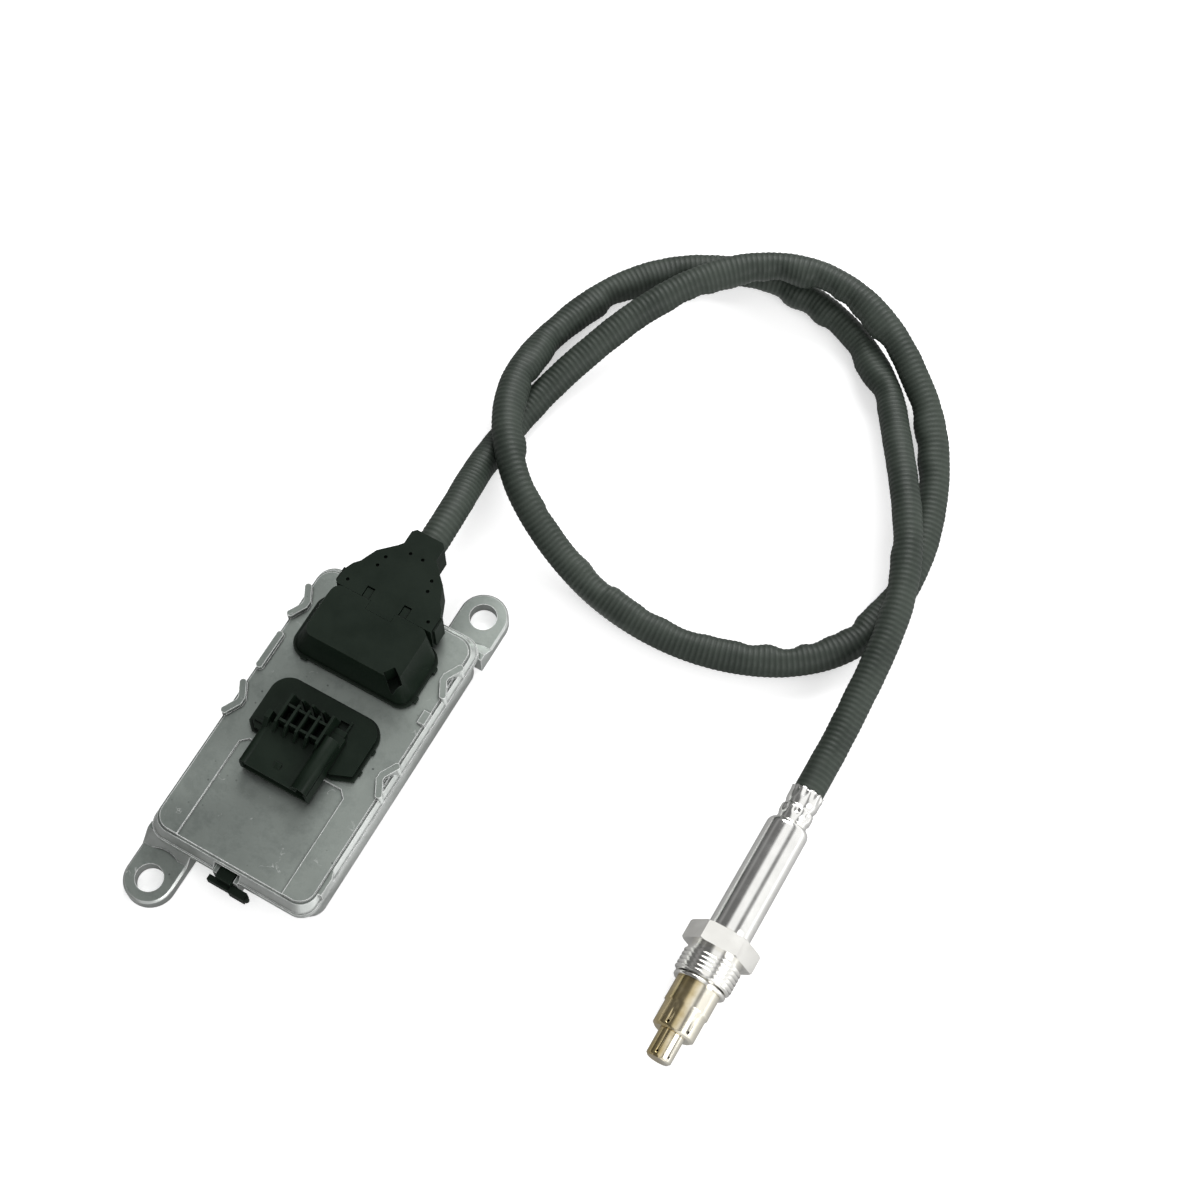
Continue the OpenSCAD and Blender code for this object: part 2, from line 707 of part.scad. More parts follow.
module shell_outline() {
    side = shell_side();
    n = len(side);
    polygon(concat(side, [for (i = [n - 1:-1:0]) [-side[i][0], side[i][1]]]));
}

// What both halves of the clamshell leave free: the wire chamber, the seal's seat and the neck's bore
module shell_inside() {
    box([-chamber_half_w, outlet_rear - 2, shell_bottom + chamber_wall],
        [chamber_half_w, outlet_rear + 9, shell_top - chamber_wall - 0.6]);
    translate([0, outlet_rear + 8, shell_mid]) rotate([-90, 0, 0])
        cylinder(h = shell_l, r = neck_bore_r);
}

// Upper half of the clamshell, with its tab, slots and moulding marks
module outlet_shell_upper() {
    color([0.14, 0.15, 0.14]) difference() {
        union() {
            translate([0, 0, shell_mid]) linear_extrude(shell_top - shell_mid) shell_outline();
            box([-tab_half_w, outlet_rear - tab_l, shell_top - tab_t],
                [tab_half_w, outlet_rear + 3, shell_top]);
            for (side = [-1, 1])
                box([side * (shell_half_w + 0.2) - 0.7, outlet_rear + 1.2, shell_mid],
                    [side * (shell_half_w + 0.2) + 0.7, outlet_rear + 6.4, shell_top - 0.6]);
        }
        shell_inside();
        for (x = [-7.1, 7.2])
            box([x - 1.5, outlet_rear - 1, shell_top - 2.5], [x + 1.5, outlet_rear + slot_l, shell_top + 1]);
        for (p = [[2.4, 21.3], [9, 16.2], [9.8, 12.3], [15.7, 3]], side = [-1, 1])
            translate([side * p[0], outlet_rear + p[1], shell_top - 1.2]) cylinder(h = 2, d = 1.3, $fn = 16);
    }
}

// Lower half of the clamshell, on two feet on the lid
module outlet_shell_lower() {
    color([0.14, 0.15, 0.14]) difference() {
        union() {
            translate([0, 0, shell_bottom]) linear_extrude(shell_h / 2) shell_outline();
            for (side = [-1, 1])
                box([side * 12 - 2, outlet_rear + 1.5, body_h],
                    [side * 12 + 2, outlet_rear + 7, shell_bottom + 1]);
            for (side = [-1, 1])
                box([side * (shell_half_w + 0.2) - 0.7, outlet_rear + 1.2, shell_bottom + 0.8],
                    [side * (shell_half_w + 0.2) + 0.7, outlet_rear + 6.4, shell_mid]);
        }
        shell_inside();
    }
}

// Rubber seal in the neck, with one hole for each wire
module cable_seal() {
    color([0.16, 0.16, 0.16]) difference() {
        translate([0, sleeve_y - neck_seal_l, shell_mid]) rotate([-90, 0, 0])
            cylinder(h = neck_seal_l, r = neck_bore_r - fit);
        wire_row(0.1, neck_seal_l / 2);
    }
}

// One lead wire: from the seal to its pin, which stands on the board
module wire(margin, into) {
    r = wire_d / 2 + margin;
    y1 = sleeve_y - neck_seal_l + into;
    translate([0, wire_down_y, shell_mid]) rotate([-90, 0, 0])
        cylinder(h = y1 - wire_down_y, r = r, $fn = 20);
    translate([0, wire_down_y, board_top]) cylinder(h = shell_mid + 1 - board_top, r = pin_d / 2, $fn = 20);
}

module wire_row(margin, into) {
    for (i = [0:wire_n - 1])
        translate([(i - (wire_n - 1) / 2) * wire_pitch, 0, 0]) wire(margin, into);
}

module lead_wires() {
    color([0.75, 0.72, 0.65]) wire_row(0, neck_seal_l / 2 - 0.1);
}

// Plastic clip in the notch at the lower end: a stem and a cross bar
module end_clip() {
    y1 = -base_l / 2 - fit;
    half = notch_w / 2 - 2.1;
    color([0.10, 0.10, 0.10]) {
        box([-half, y1 - 5, 6], [half, y1, parting_h + 1.6]);
        box([-6, y1 - 6.4, 5], [8.4, y1 - 4.4, 8.6]);
        translate([8.4, y1 - 5.4, 5]) cylinder(h = 3.6, r = 1, $fn = 24);
        box([2.6, y1 - 6.8, 4.4], [8.4, y1 - 4.1, 9.2]);
    }
}

// Places a piece of the probe: its own +Z runs from the tip back to the cable
module on_probe() {
    translate([probe_x, probe_tip_y, probe_z]) rotate([-90, 0, 0]) children();
}

// A turned piece from its profile, given as [radius, station] points
module turned(profile) {
    on_probe() rotate_extrude($fn = 72) polygon(profile);
}

// Gland nut: a hexagon, an undercut and the threaded end, bored to turn on the stem
module gland_nut() {
    corner_r = nut_af / 2 / cos(30);
    bore = stem_r + nut_gap;
    color([0.70, 0.68, 0.64]) on_probe() difference() {
        union() {
            intersection() {
                translate([0, 0, s_hex]) cylinder(h = nut_hex_l, r = corner_r, $fn = 6);
                rotate_extrude($fn = 72) polygon([
                    [0, s_hex], [corner_r - 0.7, s_hex], [corner_r + 0.05, s_hex + 0.45],
                    [corner_r + 0.05, s_hex_end - 0.45], [corner_r - 0.7, s_hex_end], [0, s_hex_end]
                ]);
            }
            translate([0, 0, s_undercut - 0.1]) cylinder(h = undercut_l + 0.2, d = thread_d - 2.2);
            translate([0, 0, s_nut + 1]) cylinder(h = thread_l - 1, d = thread_d);
            translate([0, 0, s_nut]) cylinder(h = 1, d1 = thread_d - 2, d2 = thread_d);
        }
        translate([0, 0, s_nut - 1]) cylinder(h = s_hex_end - s_nut + 2, r = bore);
    }
}

// Probe body: the seat ring and the stem that the nut turns on
module probe_body() {
    seat_r = seat_d / 2;
    color([0.72, 0.70, 0.66]) turned([
        [stem_bore_r, s_seat - 1.5], [tube_d / 2 - tube_wall - fit, s_seat - 1.5],
        [tube_d / 2 - tube_wall - fit, s_seat], [seat_r - 0.4, s_seat], [seat_r, s_seat + 0.4],
        [seat_r, s_seat + 0.7 * seat_l], [seat_r - 0.9, s_seat + seat_l], [stem_r, s_seat + seat_l],
        [stem_r, s_barrel + 4], [stem_bore_r, s_barrel + 4]
    ]);
}

// Outer protection tube: two steps and a ring of gas holes
module outer_protection_tube() {
    r1 = tube_d / 2;
    r0 = tube_low_d / 2;
    w = tube_wall;
    step = s_tube + 8.8;
    color([0.80, 0.72, 0.48]) difference() {
        turned([
            [tip_d / 2 + fit, s_tube], [r0 - 1, s_tube], [r0, s_tube + 0.8], [r0, step],
            [r0 + 0.45, step + 0.3], [r0 + 0.45, step + 0.9], [r1, step + 1.4], [r1, s_seat - fit],
            [r1 - w, s_seat - fit], [r1 - w, step + 1.6], [r0 - w, step + 0.4], [r0 - w, s_tube + 1],
            [r0 - w - 0.6, s_tube + w], [tip_d / 2 + fit, s_tube + w]
        ]);
        gas_holes(gas_hole_n, gas_hole_d, s_tube + 1.8, r0, 10);
    }
}

// A ring of round holes through a tube's wall
module gas_holes(n, d, station, r, turn) {
    on_probe() for (i = [0:n - 1])
        rotate(turn + i * 360 / n) translate([r / 2, 0, station]) rotate([0, 90, 0])
            cylinder(h = r, d = d, $fn = 20);
}

// Inner protection tube: only its tip stands out of the outer tube
module tip_tube() {
    r = tip_d / 2;
    w = tube_wall;
    color([0.82, 0.74, 0.50]) difference() {
        turned([
            [0, 0], [r - 0.7, 0], [r, 0.7], [r, s_seat - 3], [r + 1.2, s_seat - 1.6],
            [r + 1.2 - w, s_seat - 1.6], [r - w, s_seat - 3.2], [r - w, 1], [r - w - 0.5, w], [0, w]
        ]);
        gas_holes(gas_hole_n, tip_hole_d, 1.8, r, 15);
    }
}

// Barrel: a sleeve pressed on the stem, drawn in at its rear shoulder
module probe_barrel() {
    r = barrel_d / 2;
    w = barrel_wall;
    e = s_collar;
    color([0.75, 0.75, 0.76]) turned(concat(
        [[stem_r + fit, s_barrel], [r - 0.3, s_barrel], [r, s_barrel + 0.3]],
        [[r - 0.1, e - 2.6]],
        [for (a = [15:15:90]) [r - 2.6 + 2.5 * cos(a), e - 2.6 + 2.6 * sin(a)]],
        [[collar_r - collar_wall - fit - 0.3, e], [collar_r - collar_wall - fit - 0.3, e - w],
            [r - 2.6, e - w], [r - w, e - 2.8], [r - w, s_barrel + 4.4], [stem_r + fit, s_barrel + 4.4]]
    ));
}

// Crimped collar on the grommet: a neck, a bulb, a groove and the cable's end ring
module crimp_collar() {
    r = collar_r;
    w = collar_wall;
    s = s_collar;
    color([0.70, 0.70, 0.71]) turned([
        [r - w, s], [r, s], [r, s + 1.8], [r + 0.55, s + 2.6], [r + 0.55, s + 5],
        [r - 0.1, s + 5.9], [r - 0.1, s + 6.7], [r + 0.3, s + 7.4], [r + 0.35, s_end - 0.3],
        [r + 0.05, s_end], [r - w, s_end]
    ]);
}

// Rubber grommet inside the collar
module rear_grommet() {
    r = collar_r - collar_wall - fit;
    color([0.15, 0.15, 0.15]) turned([
        [0, s_collar + 0.4], [r, s_collar + 0.4], [r, s_end - 0.05], [0, s_end - 0.05]
    ]);
}

// Ceramic holder for the contacts, behind the stem
module contact_holder() {
    r = barrel_d / 2 - barrel_wall - 0.1;
    s0 = s_barrel + 0.22 * barrel_l;
    s1 = s0 + 0.4 * barrel_l;
    color([0.92, 0.90, 0.85]) difference() {
        turned([[0, s0], [r, s0], [r, s1], [0, s1]]);
        element_box(0.1);
    }
}

// Ceramic bushing that holds the element in the stem
module ceramic_bushing() {
    r = stem_bore_r - 0.05;
    color([0.90, 0.88, 0.82]) difference() {
        turned([[0, s_seat + 2], [r, s_seat + 2], [r, s_barrel + 3], [0, s_barrel + 3]]);
        element_box(0.1);
    }
}

// The flat ceramic element, from the tip back into the contact holder
module element_box(margin) {
    w = 0.24 * tip_d + margin;
    t = 0.086 * tip_d + margin;
    on_probe() box([-w, -t, tip_l / 2 - margin], [w, t, s_barrel + 0.37 * barrel_l + margin]);
}

module sensor_element() {
    color([0.95, 0.95, 0.92]) element_box(0);
}

// Cable sleeve: a tube swept along a cubic B-spline through the route
function end_points(p) = concat([2 * p[0] - p[1]], p, [2 * p[len(p) - 1] - p[len(p) - 2]]);
function spline(e, i, t) = (pow(1 - t, 3) * e[i] + (3 * pow(t, 3) - 6 * t * t + 4) * e[i + 1]
    + (-3 * pow(t, 3) + 3 * t * t + 3 * t + 1) * e[i + 2] + pow(t, 3) * e[i + 3]) / 6;
function route_line(p, k) = let (e = end_points(p), n = len(p) - 1)
    concat([for (i = [0:n - 1], j = [0:k - 1]) spline(e, i, j / k)], [p[n]]);
function unit(v) = v / norm(v);
function direction(c, i) = let (n = len(c) - 1)
    i == 0 ? [0, 1, 0] : i == n ? [0, -1, 0] : unit(c[i + 1] - c[i - 1]);
function ring(c, i, r, n) = let (
        d = direction(c, i), side = unit(cross(d, [0, 0, 1])), up = cross(side, d))
    [for (k = [0:n - 1]) c[i] + r * (cos(360 * k / n) * side + sin(360 * k / n) * up)];

module cable_sleeve() {
    c = route_line(ROUTE, CORD_STEPS);
    m = len(c);
    n = CORD_SIDES;
    r = cable_d / 2;
    points = [for (i = [0:m - 1]) each ring(c, i, r, n)];
    sides = [for (i = [0:m - 2], k = [0:n - 1])
        [i * n + k, i * n + (k + 1) % n, (i + 1) * n + (k + 1) % n, (i + 1) * n + k]];
    color([0.24, 0.26, 0.25])
        polyhedron(points,
            concat([[for (k = [n - 1:-1:0]) k]], sides, [[for (k = [0:n - 1]) (m - 1) * n + k]]),
            convexity = 10);
}

base_housing();
top_cover();
cover_gasket();
circuit_board();
board_components();
connector_header();
connector_terminals();
outlet_housing();
outlet_shell_upper();
outlet_shell_lower();
cable_seal();
lead_wires();
end_clip();
cable_sleeve();
crimp_collar();
rear_grommet();
probe_barrel();
contact_holder();
gland_nut();
probe_body();
ceramic_bushing();
sensor_element();
outer_protection_tube();
tip_tube();
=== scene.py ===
# %% [markdown]
# # A nitrogen oxide sensor, dressed in Blender
# The real object measures gas in an exhaust pipe. A cast control unit, a sleeved cable and a
# threaded probe make it up. Its solids come from CAD in metres, so this script adds only what the
# eye needs: the ribs of the sleeve, the turns of the thread, the dents of the collar, soft edges,
# finishes, and a studio for it to lie in.

# %% Open the frame
import math

import bmesh
import bpy
import numpy as np
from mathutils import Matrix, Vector


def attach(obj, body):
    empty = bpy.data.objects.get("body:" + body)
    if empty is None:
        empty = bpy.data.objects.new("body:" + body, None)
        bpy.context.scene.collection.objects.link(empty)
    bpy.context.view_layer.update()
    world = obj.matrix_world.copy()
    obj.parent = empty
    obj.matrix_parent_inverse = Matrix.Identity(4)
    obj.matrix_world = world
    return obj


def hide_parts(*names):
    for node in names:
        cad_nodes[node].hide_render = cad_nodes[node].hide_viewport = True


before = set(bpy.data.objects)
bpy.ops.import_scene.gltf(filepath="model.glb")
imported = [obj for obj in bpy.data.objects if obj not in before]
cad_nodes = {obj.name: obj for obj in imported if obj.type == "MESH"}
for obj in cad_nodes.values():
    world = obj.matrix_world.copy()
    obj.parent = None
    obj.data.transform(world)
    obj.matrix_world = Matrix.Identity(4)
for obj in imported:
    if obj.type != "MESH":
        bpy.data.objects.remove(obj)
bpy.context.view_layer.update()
scene = bpy.context.scene
scene.view_settings.view_transform = "Standard"
MM = 0.001

# %% [markdown]
# ## Camera
# The photograph looks down at 66 degrees through a long lens. Three angles could turn the camera,
# but two points are easier to read: where it stands and what it looks at. The lens is as long as
# the perspective asks for.

# %% Camera
CAMERA_AT = Vector((0.2150, -0.1869, 0.7292))
CAMERA_TO = Vector((0.0540, 0.0944, 0.0))
LENS_MM = 69.0
FILM_WIDTH_MM = 36.0
NEAREST_SEEN = 10.0 * MM


def aim(place, target):
    """The turn that points a camera or a lamp at its target."""
    return (Vector(target) - Vector(place)).to_track_quat("-Z", "Y").to_euler()


camera_data = bpy.data.cameras.new("camera")
camera_data.lens = LENS_MM
camera_data.sensor_width = FILM_WIDTH_MM
camera_data.clip_start = NEAREST_SEEN
camera = bpy.data.objects.new("camera", camera_data)
camera.location = CAMERA_AT
camera.rotation_euler = aim(CAMERA_AT, CAMERA_TO)
scene.collection.objects.link(camera)
scene.camera = camera
print("camera distance in mm:", round((CAMERA_TO - CAMERA_AT).length / MM))

# %% [markdown]
# ## Helpers for nodes
# Geometry Nodes and materials are both made of nodes, links and inputs. Written out in full, each
# node takes four or five lines. These helpers add a node, plug its inputs in and hand back the
# output that the next node needs, so that a tree reads like a sum.

# %% Node helpers
def link_or_set(tree, socket, value):
    """Links a socket to another one, or gives it a plain value."""
    if isinstance(value, bpy.types.NodeSocket):
        tree.links.new(value, socket)
    else:
        socket.default_value = value


def add_node(tree, kind, inputs=(), **settings):
    """Adds a node, sets its properties, then fills or links its inputs by name or number."""
    node = tree.nodes.new(kind)
    for key, value in settings.items():
        setattr(node, key, value)
    for key, value in dict(inputs).items():
        link_or_set(tree, node.inputs[key], value)
    return node


def math_node(tree, operation, *values, clamp=False):
    return add_node(
        tree, "ShaderNodeMath", dict(enumerate(values)), operation=operation, use_clamp=clamp
    ).outputs[0]


def times(tree, first, *others):
    """The product of all its values."""
    for other in others:
        first = math_node(tree, "MULTIPLY", first, other)
    return first


def plus_share(tree, base, mask, share, clamp=False):
    """The base with a share of a mask added. A share below zero takes it away."""
    return math_node(tree, "MULTIPLY_ADD", mask, share, base, clamp=clamp)


def distance_to(tree, value, centre):
    return math_node(tree, "ABSOLUTE", math_node(tree, "SUBTRACT", value, centre))


def smooth_step(tree, value, start, end, low=0.0, high=1.0):
    """Goes softly from low to high while the value goes from start to end."""
    return add_node(
        tree,
        "ShaderNodeMapRange",
        {"Value": value, "From Min": start, "From Max": end, "To Min": low, "To Max": high},
        interpolation_type="SMOOTHSTEP",
    ).outputs["Result"]


def noise_node(tree, vector, scale, detail=3.0, roughness=0.55):
    return add_node(
        tree,
        "ShaderNodeTexNoise",
        {"Vector": vector, "Scale": scale, "Detail": detail, "Roughness": roughness},
    ).outputs["Fac"]


def vector_node(tree, operation, *vectors, result="Vector"):
    return add_node(
        tree, "ShaderNodeVectorMath", dict(enumerate(vectors)), operation=operation
    ).outputs[result]


def scaled(tree, vector, factor):
    return add_node(
        tree, "ShaderNodeVectorMath", {0: vector, "Scale": factor}, operation="SCALE"
    ).outputs[0]


def part_of(tree, vector, axis):
    """The X, Y or Z of a vector."""
    return add_node(tree, "ShaderNodeSeparateXYZ", {"Vector": vector}).outputs[axis]


print("node helpers:", [f.__name__ for f in (math_node, times, plus_share, smooth_step, scaled)])

# %% [markdown]
# ## Making a piece with Geometry Nodes
# A tree gets one named input for each of its sizes, so that a reader can change a size without
# looking for it in the tree. At its end, Realize Instances and Set Material turn everything into
# real faces with a finish. The result is then kept as a plain mesh, with no modifier on it.

# %% Start, end and run a tree
def new_geometry_tree(name, sizes):
    """A tree with a geometry input, an input for each size and the finish, and an output."""
    tree = bpy.data.node_groups.new(name, "GeometryNodeTree")

    def new_socket(label, side, kind):
        tree.interface.new_socket(label, in_out=side, socket_type="NodeSocket" + kind)

    new_socket("Geometry", "INPUT", "Geometry")
    for label, value in sizes.items():
        new_socket(label, "INPUT", "Int" if isinstance(value, int) else "Float")
    new_socket("Material", "INPUT", "Material")
    new_socket("Geometry", "OUTPUT", "Geometry")
    return tree, tree.nodes.new("NodeGroupInput").outputs


def close_tree(tree, size, geometry):
    """Ends a tree in Realize Instances and Set Material."""
    real = add_node(tree, "GeometryNodeRealizeInstances", {"Geometry": geometry}).outputs[0]
    dressed = add_node(
        tree, "GeometryNodeSetMaterial", {"Geometry": real, "Material": size["Material"]}
    ).outputs[0]
    add_node(tree, "NodeGroupOutput", {0: dressed})


def run_tree(tree, name, start_mesh, sizes, material):
    """Runs a tree on a mesh and returns a plain object with the result in its own mesh."""
    maker = bpy.data.objects.new(name + "_maker", start_mesh)
    scene.collection.objects.link(maker)
    modifier = maker.modifiers.new("tree", "NODES")
    modifier.node_group = tree
    wanted = dict(sizes, Material=material)
    for item in tree.interface.items_tree:
        if item.in_out == "INPUT" and item.name in wanted:
            modifier[item.identifier] = wanted[item.name]
    bpy.context.view_layer.update()
    graph = bpy.context.evaluated_depsgraph_get()
    mesh = bpy.data.meshes.new_from_object(maker.evaluated_get(graph), depsgraph=graph)
    mesh.name = name
    bpy.data.objects.remove(maker)
    piece = bpy.data.objects.new(name, mesh)
    scene.collection.objects.link(piece)
    print(name, "has", sum(len(p.vertices) - 2 for p in mesh.polygons), "triangles")
    return piece


print("steps of a piece:", [f.__name__ for f in (new_geometry_tree, close_tree, run_tree)])

# %% [markdown]
# ## Shared effects
# A real surface is never one even colour. Four effects come back in the finishes here: worn edges
# with a painted highlight, painted shade in creases, a grain and lathe rings. Each could be built
# again in every material, but then a change would have to be made a dozen times. So each is a
# shader group, made once, that puts out masks from 0 to 1.

# %% Helpers for shaders
# A Mix node keeps one set of sockets for numbers and another for colours.
MIX_FACTOR = 0
NUMBER_FIRST, NUMBER_SECOND, NUMBER_RESULT = 2, 3, 0
COLOR_FIRST, COLOR_SECOND, COLOR_RESULT = 6, 7, 2


def rgb(red, green, blue):
    """An opaque colour. The values are linear, so 0.2 is a middle grey."""
    return (red, green, blue, 1.0)


def mix_color(tree, factor, first, second):
    return add_node(
        tree, "ShaderNodeMix", {MIX_FACTOR: factor, COLOR_FIRST: first, COLOR_SECOND: second},
        data_type="RGBA",
    ).outputs[COLOR_RESULT]


def mix_number(tree, factor, first, second):
    return add_node(
        tree, "ShaderNodeMix", {MIX_FACTOR: factor, NUMBER_FIRST: first, NUMBER_SECOND: second},
        data_type="FLOAT",
    ).outputs[NUMBER_RESULT]


def object_place(tree):
    """Object coordinates, in which a pattern stays on its piece when the piece moves."""
    return add_node(tree, "ShaderNodeTexCoord").outputs["Object"]


def new_shader_group(name, inputs, masks):
    """A group with a number input for each size, at its usual value, and an output a mask."""
    group = bpy.data.node_groups.new(name, "ShaderNodeTree")
    for label, value in inputs.items():
        socket = group.interface.new_socket(label, in_out="INPUT", socket_type="NodeSocketFloat")
        socket.default_value = value
    for label in masks:
        group.interface.new_socket(label, in_out="OUTPUT", socket_type="NodeSocketFloat")
    return group, group.nodes.new("NodeGroupInput").outputs


def close_group(group, masks):
    """Links each mask to the group's output of the same name."""
    add_node(group, "NodeGroupOutput", masks)
    print("shader group:", group.name, "with", list(masks))
    return group


print("shader helpers:", [f.__name__ for f in (rgb, mix_color, mix_number, object_place)])

# %% [markdown]
# ### Worn edges with painted highlights
# Handling rubs an edge bright, and the same mask also paints a highlight where a rounded edge
# would catch the light. Such a mask could be painted, but then each piece would need its own
# picture. A Bevel node finds the edges instead: it gives the normal that a rounded edge would have,
# and where that leaves the true normal, there is an edge. Noise breaks the line up, as real wear
# does.

# %% Worn edges with painted highlights
EDGE_SAMPLES = 6


def make_edge_group():
    group, size = new_shader_group("edge_wear", {"Radius": 0.4 * MM, "Gain": 2.5}, ["Mask"])
    rounded = add_node(
        group, "ShaderNodeBevel", {"Radius": size["Radius"]}, samples=EDGE_SAMPLES
    ).outputs[0]
    true = add_node(group, "ShaderNodeNewGeometry").outputs["Normal"]
    likeness = vector_node(group, "DOT_PRODUCT", rounded, true, result="Value")
    edge = math_node(group, "SUBTRACT", 1.0, likeness, clamp=True)
    patchy = noise_node(group, object_place(group), scale=420.0)
    broken = smooth_step(group, patchy, start=0.25, end=0.7, low=0.35)
    gained = times(group, edge, size["Gain"])
    return close_group(group, {"Mask": math_node(group, "MULTIPLY", gained, broken, clamp=True)})


EDGE_WEAR = make_edge_group()

# %% [markdown]
# ### Painted crease shade and upward faces
# The first mask paints shade into inner corners, which Ambient Occlusion finds because little
# light gets in there. The second mask finds the faces that look straight up, such as the lid, so
# that a finish can treat them and the walls differently: the die-cast walls get a brighter pair
# of tones as painted light.

# %% Painted crease shade and upward faces
CREASE_SAMPLES = 6


def make_crease_group():
    group, size = new_shader_group("creases", {"Reach": 1.2 * MM}, ["Crease", "Upward"])
    openness = add_node(
        group, "ShaderNodeAmbientOcclusion", {"Distance": size["Reach"]},
        samples=CREASE_SAMPLES, only_local=True,
    ).outputs["AO"]
    normal = add_node(group, "ShaderNodeNewGeometry").outputs["True Normal"]
    # The Crease mask is painted shade: it is strongest where Ambient Occlusion finds little light.
    return close_group(group, {
        "Crease": smooth_step(group, openness, start=0.55, end=0.97, low=1.0, high=0.0),
        "Upward": smooth_step(group, part_of(group, normal, "Z"), start=0.75, end=0.97),
    })


CREASES = make_crease_group()

# %% [markdown]
# ### Grain
# A cast or moulded skin has mottled patches, a fine tooth, dark pits and short scratches. The pits
# are the middles of Voronoi cells. A scratch is the thin line where a noise passes its middle
# value, 0.5, which wanders as a real scratch does. A second noise lets each show in places only.

# %% Grain
def make_grain_group():
    group, size = new_shader_group(
        "surface_grain",
        {"Patch Scale": 60.0, "Tooth Scale": 2600.0, "Pit Scale": 330.0, "Pit Amount": 0.5},
        ["Patches", "Tooth", "Pits", "Scratches"],
    )
    place = object_place(group)
    mottle = noise_node(group, place, size["Patch Scale"], detail=5.0, roughness=0.6)
    cells = add_node(
        group, "ShaderNodeTexVoronoi", {"Vector": place, "Scale": size["Pit Scale"]}
    ).outputs["Distance"]
    deep = smooth_step(group, cells, start=0.05, end=0.16, low=1.0, high=0.0)
    pitted_area = noise_node(group, place, scale=150.0, detail=2.0)
    pitted = smooth_step(group, pitted_area, start=0.52, end=0.62)
    off_middle = distance_to(group, noise_node(group, place, scale=210.0), 0.5)
    lines = smooth_step(group, off_middle, start=0.004, end=0.016, low=1.0, high=0.0)
    scuffed = smooth_step(group, noise_node(group, place, scale=120.0), start=0.6, end=0.72)
    return close_group(group, {
        "Patches": smooth_step(group, mottle, start=0.3, end=0.7),
        "Tooth": noise_node(group, place, size["Tooth Scale"], detail=2.0),
        "Pits": times(group, deep, pitted, size["Pit Amount"]),
        "Scratches": times(group, lines, scuffed),
    })


GRAIN = make_grain_group()

# %% [markdown]
# ### Lathe rings
# A lathe leaves fine rings round the probe, whose axis runs along Y. A noise that a Mapping node
# has squeezed in X and Z changes only along Y, so it makes rings. The cloud is a slow stain.

# %% Lathe rings
RING_SQUEEZE = (0.012, 1.0, 0.012)


def make_ring_group():
    group, size = new_shader_group("lathe_rings", {"Ring Scale": 5200.0}, ["Rings", "Cloud"])
    place = object_place(group)
    flat = add_node(
        group, "ShaderNodeMapping", {"Vector": place, "Scale": RING_SQUEEZE}
    ).outputs[0]
    return close_group(group, {
        "Rings": noise_node(group, flat, size["Ring Scale"], detail=1.0),
        "Cloud": noise_node(group, place, scale=120.0),
    })


RINGS = make_ring_group()

# %% [markdown]
# ## Finishes
# A finish is a material with one Principled shader. Values that are the same all over sit on its
# own sockets, and everything that changes over the surface comes in from the groups. Each finish
# is kept under the name of the slot that it fills.

# %% Start a finish
FINISHES = {}


def new_finish(name, **sockets):
    """A material with a Principled shader, its plain values set directly on its sockets."""
    material = bpy.data.materials.new(name)
    material.use_nodes = True
    tree = material.node_tree
    shader = tree.nodes["Principled BSDF"]
    for label, value in sockets.items():
        shader.inputs[label.replace("_", " ")].default_value = value
    FINISHES[name] = material
    print("finish:", name)
    return tree, shader.inputs


def use_group(tree, group, **inputs):
    """Places a shader group in a material, with its own sizes."""
    node = tree.nodes.new("ShaderNodeGroup")
    node.node_tree = group
    for label, value in inputs.items():
        link_or_set(tree, node.inputs[label.replace("_", " ")], value)
    return node.outputs


def bump_normal(tree, height, distance, strength):
    return add_node(
        tree, "ShaderNodeBump", {"Strength": strength, "Distance": distance, "Height": height}
    ).outputs[0]


def feed(tree, shader, **values):
    """Links what changes over the surface to the shader."""
    for label, value in values.items():
        tree.links.new(value, shader[label.replace("_", " ")])


print("steps of a finish:", [f.__name__ for f in (new_finish, use_group, bump_normal, feed)])

# %% [markdown]
# ### Die-cast aluminium
# The castings came out of the die dull and blotchy, with flow marks and little pits. The walls are
# painted brighter than the lid, as painted light, so the mask of upward faces mixes two pairs of
# tones. It is paler towards its right edge. Handling has rubbed the edges bright, and a painted
# highlight brightens them further; painted shade darkens the creases. Metallic is high, but it
# falls on the edges, so that their painted highlight stays bright whatever they mirror.

# %% Die-cast finish
PALER_FROM, PALER_TO = 10.0 * MM, 30.0 * MM
CAST_TOOTH = 0.06 * MM


def cast_tone(tree, place, grain, upward, tones):
    """The colour of the metal before painted crease shade: blotchy tones on the lid, and a brighter
    pair on the walls, which is painted light.
    """
    fine = noise_node(tree, place, scale=170.0, detail=6.0, roughness=0.7)
    smudges = smooth_step(tree, fine, start=0.42, end=0.68)
    across = part_of(tree, place, "X")
    paler = smooth_step(tree, across, PALER_FROM, PALER_TO, low=0.35, high=0.7)
    flow = plus_share(tree, base=paler, mask=grain["Patches"], share=0.3)
    blotchy = plus_share(tree, base=flow, mask=smudges, share=-0.3, clamp=True)
    lid = mix_color(tree, blotchy, tones["lid_dark"], tones["lid_light"])
    # Painted light: the walls get a brighter pair of tones than the lid.
    wall = mix_color(tree, grain["Patches"], tones["wall_dark"], tones["wall_light"])
    return mix_color(tree, upward, wall, lid)


